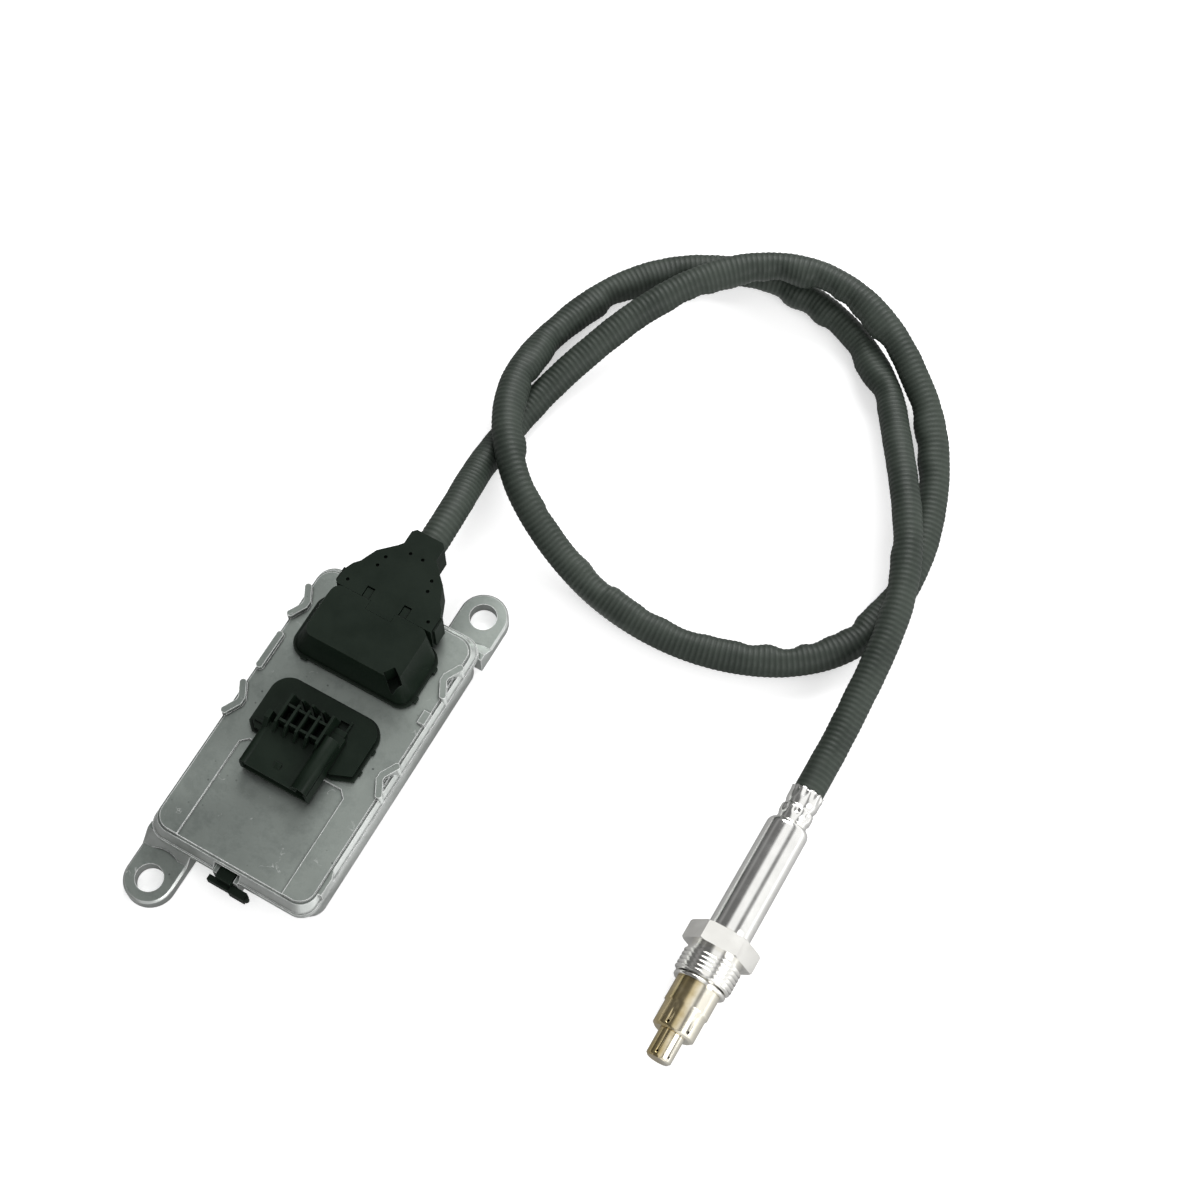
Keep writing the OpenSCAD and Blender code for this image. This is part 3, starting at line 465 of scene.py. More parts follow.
def make_cast(name, **tones):
    tree, shader = new_finish(name)
    grain = use_group(tree, GRAIN, Patch_Scale=42.0, Pit_Scale=300.0, Pit_Amount=0.75)
    edge = use_group(tree, EDGE_WEAR, Radius=0.45 * MM, Gain=8.0)["Mask"]
    crease = use_group(tree, CREASES, Reach=1.2 * MM)
    body = cast_tone(tree, object_place(tree), grain, crease["Upward"], tones)
    pitted = mix_color(tree, grain["Pits"], body, tones["pit"])
    scratched = mix_color(tree, times(tree, grain["Scratches"], 0.45), pitted, tones["worn"])
    # Painted shade: the creases that Ambient Occlusion finds are darkened towards a near-black
    # tone.
    dirty = mix_color(tree, times(tree, crease["Crease"], 0.92), scratched, tones["dirt"])
    rough = plus_share(tree, base=0.3, mask=grain["Patches"], share=0.12)
    height = math_node(tree, "SUBTRACT", times(tree, grain["Tooth"], 0.35), grain["Pits"])
    # The bright edges are partly wear and partly a painted highlight; metallic falls there so that
    # they stay bright.
    feed(
        tree, shader,
        Base_Color=mix_color(tree, edge, dirty, tones["worn"]),
        Metallic=plus_share(tree, base=0.9, mask=edge, share=-0.85),
        Roughness=plus_share(tree, base=rough, mask=edge, share=-0.2),
        Normal=bump_normal(tree, height, CAST_TOOTH, strength=0.55),
    )


# The wall tones are painted light, the near-black crease tone is painted shade, and the wear tone
# also carries a painted edge highlight.
make_cast(
    "die_cast",
    lid_dark=rgb(0.16, 0.18, 0.168), lid_light=rgb(0.31, 0.34, 0.315),
    wall_dark=rgb(0.47, 0.495, 0.475), wall_light=rgb(0.71, 0.735, 0.715),
    worn=rgb(0.94, 0.95, 0.94), pit=rgb(0.05, 0.055, 0.055), dirt=rgb(0.03, 0.033, 0.032),
)

# %% [markdown]
# ### Moulded plastic, rubber and ceramic
# Moulded plastic has an even, fine grain, a little painted shade in its creases and slightly paler
# edges, which are wear and a painted highlight.
# Rubber is the same with a rougher skin, and ceramic is pale with a chalky tooth. The tinned
# blades are small enough to share the recipe, as metal. One maker serves them all.

# %% Moulded finishes
MOULD_TOOTH = 0.03 * MM
# Painted shade for the creases.
MOULD_DIRT = rgb(0.002, 0.002, 0.002)


def make_moulded(name, dark, light, worn, roughness, specular=0.3, metallic=0.0):
    tree, shader = new_finish(name, Metallic=metallic, Specular_IOR_Level=specular)
    grain = use_group(tree, GRAIN, Patch_Scale=75.0, Tooth_Scale=2200.0, Pit_Amount=0.25)
    edge = use_group(tree, EDGE_WEAR, Radius=0.3 * MM, Gain=1.2)["Mask"]
    crease = use_group(tree, CREASES, Reach=1.0 * MM)["Crease"]
    # The paler edges are partly wear and partly a painted highlight.
    clean = mix_color(tree, edge, mix_color(tree, grain["Patches"], dark, light), worn)
    rough = plus_share(tree, base=roughness, mask=grain["Patches"], share=0.1)
    # Painted shade darkens the creases that Ambient Occlusion finds.
    feed(
        tree, shader,
        Base_Color=mix_color(tree, times(tree, crease, 0.7), clean, MOULD_DIRT),
        Roughness=plus_share(tree, base=rough, mask=grain["Scratches"], share=-0.08),
        Normal=bump_normal(tree, grain["Tooth"], MOULD_TOOTH, strength=0.6),
    )


make_moulded(
    "black_plastic", rgb(0.004, 0.009, 0.005), rgb(0.0075, 0.0135, 0.0085),
    worn=rgb(0.05, 0.062, 0.054), roughness=0.4, specular=0.12)
make_moulded(
    "seal_rubber", rgb(0.012, 0.012, 0.012), rgb(0.02, 0.02, 0.02),
    worn=rgb(0.035, 0.035, 0.035), roughness=0.6)
make_moulded(
    "board", rgb(0.012, 0.075, 0.028), rgb(0.018, 0.11, 0.04),
    worn=rgb(0.35, 0.33, 0.2), roughness=0.38)
make_moulded(
    "component_plastic", rgb(0.016, 0.016, 0.018), rgb(0.028, 0.028, 0.03),
    worn=rgb(0.06, 0.06, 0.06), roughness=0.5)
make_moulded(
    "wire_plastic", rgb(0.42, 0.38, 0.33), rgb(0.5, 0.46, 0.4),
    worn=rgb(0.6, 0.56, 0.5), roughness=0.45)
make_moulded(
    "ceramic", rgb(0.72, 0.69, 0.62), rgb(0.8, 0.78, 0.72),
    worn=rgb(0.88, 0.86, 0.82), roughness=0.65)
make_moulded(
    "terminal_metal", rgb(0.62, 0.5, 0.26), rgb(0.72, 0.6, 0.34),
    worn=rgb(0.85, 0.78, 0.6), roughness=0.28, specular=0.5, metallic=1.0)

# %% [markdown]
# ### Turned steel
# The probe's metals are one steel in three states: the polished barrel, the plated nut, and the
# two tubes that heat has tinted like straw. On the side away from the control unit the tint is
# painted pale, as a painted highlight. Rings from the lathe break up the reflections, which an even
# metal would show too sharply.

# %% Steel finishes
RING_DEPTH = 0.012 * MM
# Where the painted highlight on the tinted tubes begins and ends across X, and how far its line
# wanders.
TINT_FROM, TINT_TO = 151.5 * MM, 156.0 * MM
TINT_WANDER = 4.0 * MM


def heat_tint(tree, cloud, tinted, pale):
    """The tinted colour, which turns pale across the tube along an uneven line, as a painted
    highlight.
    """
    across = part_of(tree, object_place(tree), "X")
    uneven = plus_share(tree, base=across, mask=cloud, share=TINT_WANDER)
    return mix_color(tree, smooth_step(tree, uneven, TINT_FROM, TINT_TO), tinted, pale)


def make_steel(name, dark, light, worn, roughness, pale=None):
    tree, shader = new_finish(name, Metallic=1.0)
    rings = use_group(tree, RINGS)
    # The bright edges are partly wear and partly a painted highlight.
    edge = use_group(tree, EDGE_WEAR, Radius=0.15 * MM, Gain=1.5)["Mask"]
    stain = smooth_step(tree, rings["Cloud"], start=0.35, end=0.65)
    body = mix_color(tree, stain, dark, light)
    if pale:
        body = heat_tint(tree, rings["Cloud"], body, pale)
    rough = plus_share(tree, base=roughness, mask=rings["Rings"], share=0.1)
    feed(
        tree, shader,
        Base_Color=mix_color(tree, edge, body, worn),
        Roughness=plus_share(tree, base=rough, mask=stain, share=0.05),
        Normal=bump_normal(tree, rings["Rings"], RING_DEPTH, strength=0.5),
    )


make_steel(
    "stainless", rgb(0.88, 0.875, 0.85), rgb(0.95, 0.945, 0.92),
    worn=rgb(0.97, 0.97, 0.95), roughness=0.08)
make_steel(
    "nut_steel", rgb(0.86, 0.85, 0.81), rgb(0.94, 0.93, 0.89),
    worn=rgb(0.97, 0.96, 0.94), roughness=0.1)
# The pale tone of the tinted tubes is a painted highlight.
make_steel(
    "tinted_steel", rgb(0.5, 0.4, 0.2), rgb(0.66, 0.55, 0.33),
    worn=rgb(0.88, 0.84, 0.7), roughness=0.1, pale=rgb(0.94, 0.9, 0.78))

# %% [markdown]
# ## The cable's route
# The cable leaves the clamshell level, comes down to the floor, goes round one and a half times
# and climbs over itself where it crosses. Straight runs between the listed points would have kinks,
# so a cubic B-spline smooths them. It is the same line as in the CAD source, so the sleeve lies
# where its solid does.

# %% Route
ROUTE_MM = [
    (0, 66, 25.5), (0, 89.5, 25.3), (-5, 110.5, 14), (-6, 131.5, 5.5), (-2, 155.5, 6.5),
    (5.5, 177, 11), (14.5, 198, 15), (26.5, 218, 16.5), (44, 234.5, 17), (67.5, 241, 17.5),
    (91.5, 235, 16), (110.5, 222, 12.5), (127, 206.5, 8.5), (137, 186.5, 6), (144, 164, 5.5),
    (144.5, 140.5, 5.5), (139, 117.5, 5.5), (121, 101.5, 5.5), (99, 93, 5.5), (76.5, 90.5, 5.5),
    (53, 93, 6), (31.5, 100, 10.5), (11.5, 110, 19), (-4.5, 128, 19.7), (-13, 149.5, 15),
    (-12.5, 171.5, 7), (-7, 194, 6), (4, 213.5, 5.5), (21.5, 228, 5.5), (43, 236, 5.5),
    (66, 235.5, 5.5), (87.5, 227.5, 5.5), (105.5, 213.5, 8), (117, 194.5, 13), (130.5, 174.5, 16.5),
    (141.5, 154.5, 17.5), (148, 132.5, 16.5), (149.5, 109.5, 14), (150.5, 86.5, 11),
    (150.5, 63.5, 11),
]
ROUTE_STEPS = 24
CABLE_LENGTH = 0.9


def spline_line(points, steps):
    """The cubic B-spline of the route. Phantom points make it begin and stop at its end points."""
    p = np.array(points, float) * MM
    ends = np.vstack([2 * p[0] - p[1], p, 2 * p[-1] - p[-2]])
    line = []
    for i in range(len(p) - 1):
        for t in np.arange(steps) / steps:
            weights = (
                (1 - t) ** 3,
                3 * t**3 - 6 * t * t + 4,
                -3 * t**3 + 3 * t * t + 3 * t + 1,
                t**3,
            )
            line.append(sum(w * ends[i + k] for k, w in enumerate(weights)) / 6)
    line.append(p[-1])
    return np.array(line)


route = spline_line(ROUTE_MM, ROUTE_STEPS)
route_length = float(np.linalg.norm(np.diff(route, axis=0), axis=1).sum())
print("route in mm:", round(route_length / MM, 1), "with", len(route), "points")

# %% [markdown]
# ## The sleeve
# The sleeve is a fine bellows hose with a rib every 1.88 mm. Where it bends, its inner side bunches
# up into soft creases. Each rib could be a ring of its own, but some 480 rings on a bent line would
# leave gaps. Instead the tree sweeps one tube along the route and then pushes its points in and
# out. For that, each point has to know its centre, the bend and its length along the cable, which
# the tree stores on the curve before the sweep.

# %% Sleeve: the tube
SLEEVE_SIZES = {
    "Radius": 5.2 * MM,
    "Spacing": 0.315 * MM,
    "Rib Pitch": 1.88 * MM,
    "Rib Height": 0.08 * MM,
    "Crease Length": 15.0 * MM,
    "Crease Height": 1.25 * MM,
    "Sides": 24,
}
BEND_REACH = 8.0 * MM


def half_curvature(tree, line, arc, here):
    """A vector to the inside of the bend, half as long as the curvature, which is 1 / radius."""

    def beside(distance):
        place = math_node(tree, "ADD", arc, distance)
        return add_node(
            tree, "GeometryNodeSampleCurve", {"Curves": line, "Length": place}, mode="LENGTH"
        ).outputs["Position"]

    both = vector_node(tree, "ADD", beside(BEND_REACH), beside(-BEND_REACH))
    inward = vector_node(tree, "SUBTRACT", scaled(tree, both, 0.5), here)
    return scaled(tree, inward, 1.0 / BEND_REACH**2)


def sweep_tube(tree, size, here):
    """Sweeps a circle along the route and stores what the ribs and creases need."""
    line = add_node(tree, "GeometryNodeMeshToCurve", {"Mesh": size["Geometry"]}).outputs[0]
    curve = add_node(
        tree, "GeometryNodeResampleCurve", {"Curve": line, "Length": size["Spacing"]},
        mode="LENGTH",
    ).outputs[0]
    arc = add_node(tree, "GeometryNodeSplineParameter").outputs["Length"]
    stored = {
        "centre": (here, "FLOAT_VECTOR"),
        "inward": (half_curvature(tree, line, arc, here), "FLOAT_VECTOR"),
        "arc": (arc, "FLOAT"),
    }
    for label, (value, kind) in stored.items():
        curve = add_node(
            tree, "GeometryNodeStoreNamedAttribute",
            {"Geometry": curve, "Name": label, "Value": value}, data_type=kind, domain="POINT",
        ).outputs[0]
    upright = add_node(
        tree, "GeometryNodeSetCurveNormal", {"Curve": curve}, mode="Z_UP"
    ).outputs[0]
    circle = add_node(
        tree, "GeometryNodeCurvePrimitiveCircle",
        {"Resolution": size["Sides"], "Radius": size["Radius"]},
    ).outputs[0]
    return add_node(
        tree, "GeometryNodeCurveToMesh",
        {"Curve": upright, "Profile Curve": circle, "Fill Caps": True},
    ).outputs[0]


print("sleeve sizes in m:", SLEEVE_SIZES)

# %% [markdown]
# ### Ribs and creases
# A sine along the cable makes the ribs. The creases come from noise, and show only on the inside
# of a tight bend. Lumps keep the straight runs from looking machined. All of it fades out near
# both ends, where the sleeve sits in its sockets, and is weaker on the underside, where the floor
# holds it.

# %% Sleeve: the push
TIGHT_FROM, TIGHT_TO = 3.0, 7.5
LUMP_SCALE = 70.0
LUMP_SHARE = 0.16
NOISE_ROW = 3.7
NEAR_END_CALM = (5.0 * MM, 12.0 * MM)
FAR_END_CALM = (CABLE_LENGTH - 16.0 * MM, CABLE_LENGTH - 6.0 * MM)


def rib_wave(tree, along, pitch):
    """A sine along the cable, with one turn to a rib."""
    turns = math_node(tree, "DIVIDE", along, pitch)
    return math_node(tree, "SINE", times(tree, turns, math.tau))


def crease_and_lumps(tree, size, here, out, along, bend):
    """Creases on the inside of tight bends, with a share of lumps all round."""
    tightness = smooth_step(
        tree, vector_node(tree, "LENGTH", bend, result="Value"), TIGHT_FROM, TIGHT_TO)
    inward = vector_node(tree, "NORMALIZE", bend)
    inside = vector_node(tree, "DOT_PRODUCT", out, inward, result="Value")
    facing = smooth_step(tree, inside, start=0.1, end=0.95)
    steps = math_node(tree, "DIVIDE", along, size["Crease Length"])
    spot = add_node(tree, "ShaderNodeCombineXYZ", {"X": steps, "Y": NOISE_ROW}).outputs[0]
    folds = noise_node(tree, spot, scale=1.0, detail=1.0)
    crease = smooth_step(tree, folds, start=0.38, end=0.66, low=-0.55)
    around = vector_node(tree, "ADD", spot, scaled(tree, here, LUMP_SCALE))
    uneven = noise_node(tree, around, scale=1.0, detail=2.0)
    lumps = smooth_step(tree, uneven, start=0.3, end=0.7, low=-0.5, high=0.5)
    return plus_share(
        tree, base=times(tree, tightness, facing, crease), mask=lumps, share=LUMP_SHARE)


def freedom(tree, out, along):
    """How far a point may move: less near the ends and on the underside."""
    start = smooth_step(tree, along, *NEAR_END_CALM)
    finish = smooth_step(tree, along, *FAR_END_CALM, low=1.0, high=0.0)
    above = smooth_step(tree, part_of(tree, out, "Z"), start=-0.95, end=-0.55, low=0.35)
    return times(tree, start, finish), above


print("creases start at a bend radius of", round(0.5 / TIGHT_FROM / MM), "mm")

# %% [markdown]
# ### The whole sleeve tree
# Every point moves straight away from the cable's middle line, in the direction from its stored
# centre to the point itself. Ribs and creases are added up first, so that one move does both.

# %% Sleeve: the tree
def make_sleeve_tree():
    tree, size = new_geometry_tree("ribbed_sleeve", SLEEVE_SIZES)
    here = add_node(tree, "GeometryNodeInputPosition").outputs[0]
    tube = sweep_tube(tree, size, here)

    def stored(label, kind):
        return add_node(
            tree, "GeometryNodeInputNamedAttribute", {"Name": label}, data_type=kind
        ).outputs[0]

    spoke = vector_node(tree, "SUBTRACT", here, stored("centre", "FLOAT_VECTOR"))
    out = vector_node(tree, "NORMALIZE", spoke)
    along = stored("arc", "FLOAT")
    bend = stored("inward", "FLOAT_VECTOR")
    rib = times(tree, rib_wave(tree, along, size["Rib Pitch"]), size["Rib Height"])
    lumpy = crease_and_lumps(tree, size, here, out, along, bend)
    push = math_node(tree, "MULTIPLY_ADD", lumpy, size["Crease Height"], rib)
    calm = times(tree, push, *freedom(tree, out, along))
    moved = add_node(
        tree, "GeometryNodeSetPosition", {"Geometry": tube, "Offset": scaled(tree, out, calm)}
    ).outputs[0]
    close_tree(tree, size, moved)
    print("sleeve tree has", len(tree.nodes), "nodes")
    return tree


SLEEVE_TREE = make_sleeve_tree()

# %% [markdown]
# ### The sleeve's rubber
# Its tint is a green grey that is paler on the crests of the ribs, where it is rubbed. A band
# pattern by place would slip off the ribs in the bends. So the mask reads the length along the
# cable that the tree stored on the surface, and uses the same sine.

# %% Sleeve finish
SLEEVE_TOOTH = 0.08 * MM


def make_sleeve_finish(name, dark, light, rubbed):
    tree, shader = new_finish(name, Metallic=0.0, Specular_IOR_Level=0.3)
    grain = use_group(tree, GRAIN, Patch_Scale=48.0, Tooth_Scale=1800.0)
    along = add_node(tree, "ShaderNodeAttribute", attribute_name="arc").outputs["Fac"]
    wave = rib_wave(tree, along, SLEEVE_SIZES["Rib Pitch"])
    crest = smooth_step(tree, wave, start=-0.4, end=1.0)
    base = mix_color(tree, grain["Patches"], dark, light)
    rub = times(tree, crest, plus_share(tree, base=0.35, mask=grain["Patches"], share=0.35))
    rough = plus_share(tree, base=0.52, mask=crest, share=-0.08)
    feed(
        tree, shader,
        Base_Color=mix_color(tree, rub, base, rubbed),
        Roughness=plus_share(tree, base=rough, mask=grain["Patches"], share=0.08),
        Normal=bump_normal(tree, grain["Tooth"], SLEEVE_TOOTH, strength=0.6),
    )


make_sleeve_finish(
    "sleeve_rubber", rgb(0.017, 0.0235, 0.018), rgb(0.034, 0.0435, 0.0345),
    rubbed=rgb(0.046, 0.057, 0.047))

# %% [markdown]
# ### The sleeve in its place
# The route goes in as a mesh of short edges, which the tree turns into a curve. What comes out
# replaces the plain tube of the CAD model.

# %% Sleeve
line_mesh = bpy.data.meshes.new("route_line")
line_mesh.from_pydata([tuple(p) for p in route], [(i, i + 1) for i in range(len(route) - 1)], [])
sleeve = run_tree(
    SLEEVE_TREE, "ribbed_sleeve", line_mesh, SLEEVE_SIZES, FINISHES["sleeve_rubber"])
sleeve.data.shade_smooth()
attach(sleeve, "sensor")
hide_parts("cable_sleeve")
sleeve_low = min(v.co.z for v in sleeve.data.vertices)
print("sleeve's lowest point in mm:", round(sleeve_low / MM, 2))

# %% [markdown]
# ## The nut's thread
# The gland nut has a fine thread of 1.5 mm pitch. In CAD it is a plain cylinder at its outer
# diameter. A pattern of grooves in the material would look flat from the side, so a real groove is
# cut: the tree sweeps a triangle along a spiral and takes the result away from a copy of the nut.
# The ridges between the turns keep the outer diameter.

# %% Thread tree
PROBE_X = 150.5 * MM
PROBE_Z = 11.0 * MM
PROBE_TIP_Y = -38.0 * MM
THREAD_SIZES = {
    "Pitch": 1.5 * MM,
    "Radius": 9.85 * MM,
    "Depth": 0.8 * MM,
    "Turns": 6.2,
    "Start": 28.0 * MM,
    "Steps": 60,
}
GROOVE_CORNERS = 3
GROOVE_SQUEEZE = (1.0, 1.08, 1.0)
ALONG_PROBE = (-math.pi / 2, 0.0, 0.0)


def sweep_groove(tree, size):
    """The shape of the groove: a triangle swept along a spiral that climbs in Z."""
    climb = times(tree, size["Turns"], size["Pitch"])
    spiral = add_node(
        tree, "GeometryNodeCurveSpiral",
        {"Resolution": size["Steps"], "Rotations": size["Turns"], "Start Radius": size["Radius"],
         "End Radius": size["Radius"], "Height": climb},
    ).outputs[0]
    upright = add_node(
        tree, "GeometryNodeSetCurveNormal", {"Curve": spiral}, mode="Z_UP"
    ).outputs[0]
    triangle = add_node(
        tree, "GeometryNodeCurvePrimitiveCircle",
        {"Resolution": GROOVE_CORNERS, "Radius": size["Depth"]},
    ).outputs[0]
    squeezed = add_node(
        tree, "GeometryNodeTransform", {"Geometry": triangle, "Scale": GROOVE_SQUEEZE}
    ).outputs[0]
    return add_node(
        tree, "GeometryNodeCurveToMesh",
        {"Curve": upright, "Profile Curve": squeezed, "Fill Caps": True},
    ).outputs[0]


def make_thread_tree():
    tree, size = new_geometry_tree("cut_thread", THREAD_SIZES)
    lift = add_node(tree, "ShaderNodeCombineXYZ", {"Z": size["Start"]}).outputs[0]
    raised = add_node(
        tree, "GeometryNodeTransform",
        {"Geometry": sweep_groove(tree, size), "Translation": lift},
    ).outputs[0]
    placed = add_node(
        tree, "GeometryNodeTransform",
        {"Geometry": raised, "Translation": (PROBE_X, PROBE_TIP_Y, PROBE_Z),
         "Rotation": ALONG_PROBE},
    ).outputs[0]
    cut = add_node(
        tree, "GeometryNodeMeshBoolean", {"Mesh 1": size["Geometry"], "Mesh 2": placed},
        operation="DIFFERENCE", solver="EXACT",
    ).outputs["Mesh"]
    close_tree(tree, size, cut)
    print("thread tree has", len(tree.nodes), "nodes")
    return tree


THREAD_TREE = make_thread_tree()

# %% [markdown]
# ### The nut with its thread
# The CAD mesh is loose triangles, which a cut needs to find closed. So the nut's mesh is copied,
# its doubles are merged and its flat faces joined. The CAD mesh itself stays as it is.

# %% Threaded nut
SAME_POINT = 0.001 * MM
FLAT_ANGLE = 0.002


def merged_copy(node_name):
    """A copy of a CAD node's mesh with its doubles merged and its flat faces joined."""
    mesh = cad_nodes[node_name].data.copy()
    shape = bmesh.new()
    shape.from_mesh(mesh)
    bmesh.ops.remove_doubles(shape, verts=shape.verts, dist=SAME_POINT)
    bmesh.ops.dissolve_limit(
        shape, angle_limit=FLAT_ANGLE, verts=shape.verts, edges=shape.edges)
    shape.to_mesh(mesh)
    shape.free()
    mesh.materials.clear()
    return mesh


nut = run_tree(
    THREAD_TREE, "threaded_nut", merged_copy("gland_nut"), THREAD_SIZES, FINISHES["nut_steel"])
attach(nut, "nut")
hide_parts("gland_nut")

# %% [markdown]
# ## The crimped collar
# A press has squeezed the collar on the cable from eight sides. That leaves flat dents round its
# bulb, pleats towards the cable and an uneven rim. Sculpting could do that, but not twice in the
# same way. So the collar is a turned profile whose radius also changes with the angle.

# %% Turned shape
def ring_mesh(name, profile, sides, rule):
    """Turns a closed profile of (station, radius) round the probe's axis, changed by the rule."""
    points, faces = [], []
    count = len(profile)
    for k in range(sides):
        angle = math.tau * k / sides
        for index, (station, radius) in enumerate(profile):
            s, r = rule(index, station, radius, angle)
            x = PROBE_X + r * MM * math.cos(angle)
            z = PROBE_Z + r * MM * math.sin(angle)
            points.append((x, PROBE_TIP_Y + s * MM, z))
    for k in range(sides):
        this_row, next_row = k * count, (k + 1) % sides * count
        for i in range(count):
            j = (i + 1) % count
            faces.append((this_row + i, this_row + j, next_row + j, next_row + i))
    mesh = bpy.data.meshes.new(name)
    mesh.from_pydata(points, [], faces)
    shape = bmesh.new()
    shape.from_mesh(mesh)
    bmesh.ops.recalc_face_normals(shape, faces=shape.faces)
    shape.to_mesh(mesh)
    shape.free()
    piece = bpy.data.objects.new(name, mesh)
    scene.collection.objects.link(piece)
    print(name, "has", len(points), "points")
    return piece


# %% [markdown]
# ### The collar's profile and its rule
# The profile runs along the outside from the barrel to the rim, and back inside. The rule presses
# eight dents into the bulb, and eleven pleats that deepen towards the rim.

# %% Collar
COLLAR_START = 89.2
COLLAR_SIDES = 96
COLLAR_PROFILE = [
    (0.0, 4.7), (0.0, 5.3), (0.9, 5.3), (1.8, 5.32), (2.2, 5.62), (2.7, 5.84), (3.3, 5.88),
    (3.9, 5.88), (4.5, 5.86), (5.0, 5.8), (5.4, 5.52), (5.9, 5.22), (6.3, 5.18), (6.8, 5.24),
    (7.3, 5.5), (8.0, 5.62), (9.0, 5.66), (10.0, 5.68), (11.0, 5.72), (11.7, 5.8), (12.3, 5.92),
    (12.3, 5.5), (11.2, 5.3), (9.8, 4.75),
]
PRESSED_POINTS = range(2, 21)
DENTS, DENT_DEPTH = 8, 0.7
BULB_MIDDLE, BULB_REACH = 3.8, 1.25
PLEATS, PLEAT_DEPTH, PLEAT_TURN = 11, 0.45, 0.6
PLEATS_FROM, PLEATS_GROW = 8.0, 4.0
RIM_FROM = 11.0
RIM_WAVE = 0.28
SWAYS, SWAY = 3, 0.18


def crimp_rule(index, station, radius, angle):
    """Eight dents round the bulb, pleats towards the rim, and a rim that isn't quite even."""
    pleat_angle = PLEATS * angle + PLEAT_TURN
    if index in PRESSED_POINTS:
        dent = ((1 + math.cos(DENTS * angle)) / 2) ** 2
        bulb = math.exp(-(((station - BULB_MIDDLE) / BULB_REACH) ** 2))
        pleat = (1 + math.cos(pleat_angle)) / 2
        towards_rim = max(0.0, min(1.0, (station - PLEATS_FROM) / PLEATS_GROW))
        radius -= DENT_DEPTH * dent * bulb + PLEAT_DEPTH * pleat * towards_rim
    if station > RIM_FROM:
        station += RIM_WAVE * math.sin(pleat_angle) + SWAY * math.sin(SWAYS * angle)
    return COLLAR_START + station, radius


collar = ring_mesh("crimped_collar", COLLAR_PROFILE, COLLAR_SIDES, crimp_rule)
collar.data.materials.append(FINISHES["stainless"])
collar.data.shade_smooth()
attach(collar, "sensor")
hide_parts("crimp_collar")

# %% [markdown]
# ## Soft edges and finishes for the CAD pieces
# No real edge is sharp. Rounding each edge in CAD would make a heavy solid, so a Bevel modifier
# does it here, after a Weld modifier has joined the loose triangles that come from CAD. The CAD
# mesh itself stays as it is. Turned pieces keep their sharp edges, which are bright lines anyway.

# %% Dress the CAD pieces
DRESS = {
    "die_cast": {"base_housing": 0.2, "top_cover": 0.14},
    "black_plastic": {
        "connector_header": 0.15, "outlet_housing": 0.3, "outlet_shell_upper": 0.2,
        "outlet_shell_lower": 0.2, "end_clip": 0.2,
    },
    "seal_rubber": {"cover_gasket": 0.1, "cable_seal": 0.1, "rear_grommet": 0.1},
    "board": {"circuit_board": 0.1},
    "component_plastic": {"board_components": 0.1},
    "terminal_metal": {"connector_terminals": 0.1},
    "wire_plastic": {"lead_wires": 0.0},
    "stainless": {"probe_barrel": 0.0},
    "nut_steel": {"probe_body": 0.0},
    "tinted_steel": {"outer_protection_tube": 0.0, "tip_tube": 0.0},
    "ceramic": {"contact_holder": 0.0, "ceramic_bushing": 0.0, "sensor_element": 0.0},
}
WELD_DISTANCE = 0.002 * MM
BEVEL_SEGMENTS = 2
SHARP_ANGLE = math.radians(38)


def dress(piece, material, bevel_mm):
    """Gives a CAD piece its finish, joins its triangles and rounds its edges."""
    piece.data.materials.clear()
    piece.data.materials.append(material)
    piece.modifiers.new("weld", "WELD").merge_threshold = WELD_DISTANCE
    if bevel_mm:
        bevel = piece.modifiers.new("soft_edges", "BEVEL")
        bevel.width = bevel_mm * MM
        bevel.segments = BEVEL_SEGMENTS
        bevel.limit_method = "ANGLE"
        bevel.angle_limit = SHARP_ANGLE


for slot, bevels in DRESS.items():
    for node_name, bevel_mm in bevels.items():
        dress(cad_nodes[node_name], FINISHES[slot], bevel_mm)
print("dressed", sum(len(bevels) for bevels in DRESS.values()), "CAD pieces")

# %% [markdown]
# ## Floor
# The floor is plain and white, and it keeps the object's shadow. A white that glows would hide the
# shadow, and a matt white alone comes out grey. So it is matt white with a glow that only the
# camera, mirrors and glass see. In polished metal its tone also changes from left to right, because
# the barrel in the photograph mirrors a floor that isn't evenly lit.

# %% Floor
FLOOR_REACH = 6.0
FLOOR_LEVEL = -0.2 * MM
FLOOR_WHITE = rgb(0.8, 0.8, 0.8)
FLOOR_GLOW = 0.5
BLACK, WHITE = rgb(0.0, 0.0, 0.0), rgb(1.0, 1.0, 1.0)
MIRROR_SPAN = 0.25
MIRRORED_TONES = [(0.14, 0.22), (0.18, 0.9), (0.23, 0.9), (0.3, 0.3), (0.58, 0.28), (1.0, 0.85)]


def mirrored_tone(tree):
    """The floor's tone in a mirror: a ramp over X, from 0 to the span."""
    place = add_node(tree, "ShaderNodeNewGeometry").outputs["Position"]
    share = times(tree, part_of(tree, place, "X"), 1.0 / MIRROR_SPAN)
    ramp = add_node(tree, "ShaderNodeValToRGB", {"Fac": share})
    stops = ramp.color_ramp.elements
    while len(stops) < len(MIRRORED_TONES):
        stops.new(1.0)
    for stop, (position, grey) in zip(stops, MIRRORED_TONES):
        stop.position = position
        stop.color = rgb(grey, grey, grey)
    ramp.color_ramp.interpolation = "EASE"
    return ramp.outputs[0]


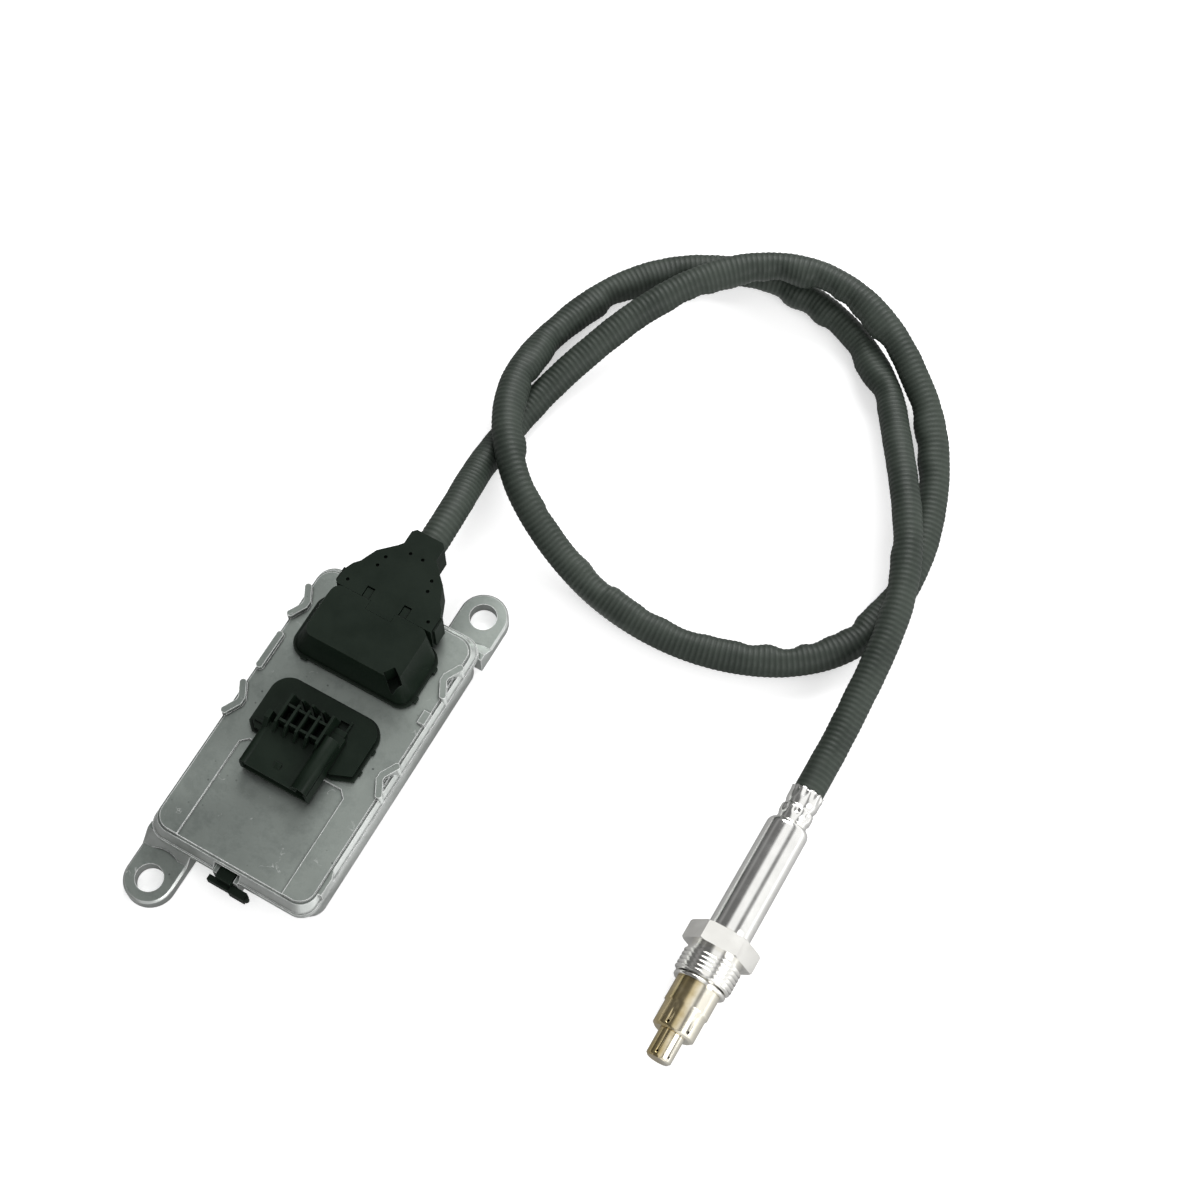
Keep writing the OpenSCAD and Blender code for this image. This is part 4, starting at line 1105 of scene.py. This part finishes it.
def make_floor_finish():
    material = bpy.data.materials.new("floor_white")
    material.use_nodes = True
    tree = material.node_tree
    tree.nodes.remove(tree.nodes["Principled BSDF"])
    ray = tree.nodes.new("ShaderNodeLightPath").outputs
    tone = mix_number(tree, ray["Is Glossy Ray"], 1.0, mirrored_tone(tree))
    matt = add_node(
        tree, "ShaderNodeBsdfDiffuse", {"Color": mix_color(tree, tone, BLACK, FLOOR_WHITE)})
    mirrored = math_node(tree, "MAXIMUM", ray["Is Glossy Ray"], ray["Is Transmission Ray"])
    seen = math_node(tree, "MAXIMUM", ray["Is Camera Ray"], mirrored)
    glow = add_node(
        tree, "ShaderNodeEmission",
        {"Color": WHITE, "Strength": times(tree, seen, FLOOR_GLOW, tone)})
    both = add_node(tree, "ShaderNodeAddShader", {0: matt.outputs[0], 1: glow.outputs[0]})
    tree.links.new(both.outputs[0], tree.nodes["Material Output"].inputs["Surface"])
    return material


corners = [(x * FLOOR_REACH, y * FLOOR_REACH, FLOOR_LEVEL)
           for x, y in ((-1, -1), (1, -1), (1, 1), (-1, 1))]
floor_mesh = bpy.data.meshes.new("floor")
floor_mesh.from_pydata(corners, [], [(0, 1, 2, 3)])
floor_mesh.materials.append(make_floor_finish())
floor = bpy.data.objects.new("floor", floor_mesh)
scene.collection.objects.link(floor)
print("floor is", 2 * FLOOR_REACH, "m wide")

# %% [markdown]
# ## Lamps
# A small lamp would throw hard shadows, which the photograph hasn't got. So both lamps are large
# and soft. The key stands behind the object, a little to the left, and a weaker one fills in from
# the right.

# %% Lamps
MIDDLE = (0.06, 0.08, 0.0)


def area_light(name, place, size, power):
    """A soft rectangle of light that looks at the middle of the object."""
    data = bpy.data.lights.new(name, "AREA")
    data.shape = "RECTANGLE"
    data.size, data.size_y = size
    data.energy = power
    light = bpy.data.objects.new(name, data)
    light.location = place
    light.rotation_euler = aim(place, MIDDLE)
    scene.collection.objects.link(light)


area_light("key_soft", (-0.15, 1.0, 0.8), size=(0.9, 0.6), power=12.0)
area_light("fill_soft", (0.95, -0.25, 0.6), size=(0.8, 0.5), power=5.0)

# %% [markdown]
# ## Sky
# Polished metal looks like what is round it, and in an even white sky it would look like paper. So
# the sky is a white tent that goes dark on the left, with a faint panel low down there, and has a
# narrow grey gap on the right. The barrel shows these as streaks, and the hexagon's faces come out
# in three tones. The camera itself sees plain white.

# %% Sky
# A direction's lean is its angle from straight up, in radians, to the right where it is positive.
DARK_FROM, DARK_TO, DARKEST = -0.19, -0.47, 0.15
PANEL_LEAN, PANEL_REACH, PANEL_TONE = -1.1, 0.22, 0.13
GAP_LEAN, GAP_CORE, GAP_REACH, GAP_TONE = 0.57, 0.06, 0.28, 0.25


def make_sky():
    world = bpy.data.worlds.new("studio")
    scene.world = world
    world.use_nodes = True
    tree = world.node_tree
    ray = tree.nodes.new("ShaderNodeLightPath").outputs
    direction = add_node(tree, "ShaderNodeTexCoord").outputs["Generated"]
    axes = add_node(tree, "ShaderNodeSeparateXYZ", {"Vector": direction}).outputs
    lean = math_node(tree, "ARCTAN2", axes["X"], axes["Z"])
    left = smooth_step(tree, lean, DARK_TO, DARK_FROM, low=DARKEST)
    to_panel = distance_to(tree, lean, PANEL_LEAN)
    panel = smooth_step(tree, to_panel, 0.0, PANEL_REACH, low=PANEL_TONE, high=0.0)
    to_gap = distance_to(tree, lean, GAP_LEAN)
    right = smooth_step(tree, to_gap, GAP_CORE, GAP_REACH, low=GAP_TONE)
    tone = times(tree, math_node(tree, "ADD", left, panel), right)
    back = tree.nodes["Background"].inputs
    tree.links.new(mix_number(tree, ray["Is Camera Ray"], tone, 1.0), back["Strength"])
    back["Color"].default_value = WHITE
    print("sky tree has", len(tree.nodes), "nodes")


make_sky()
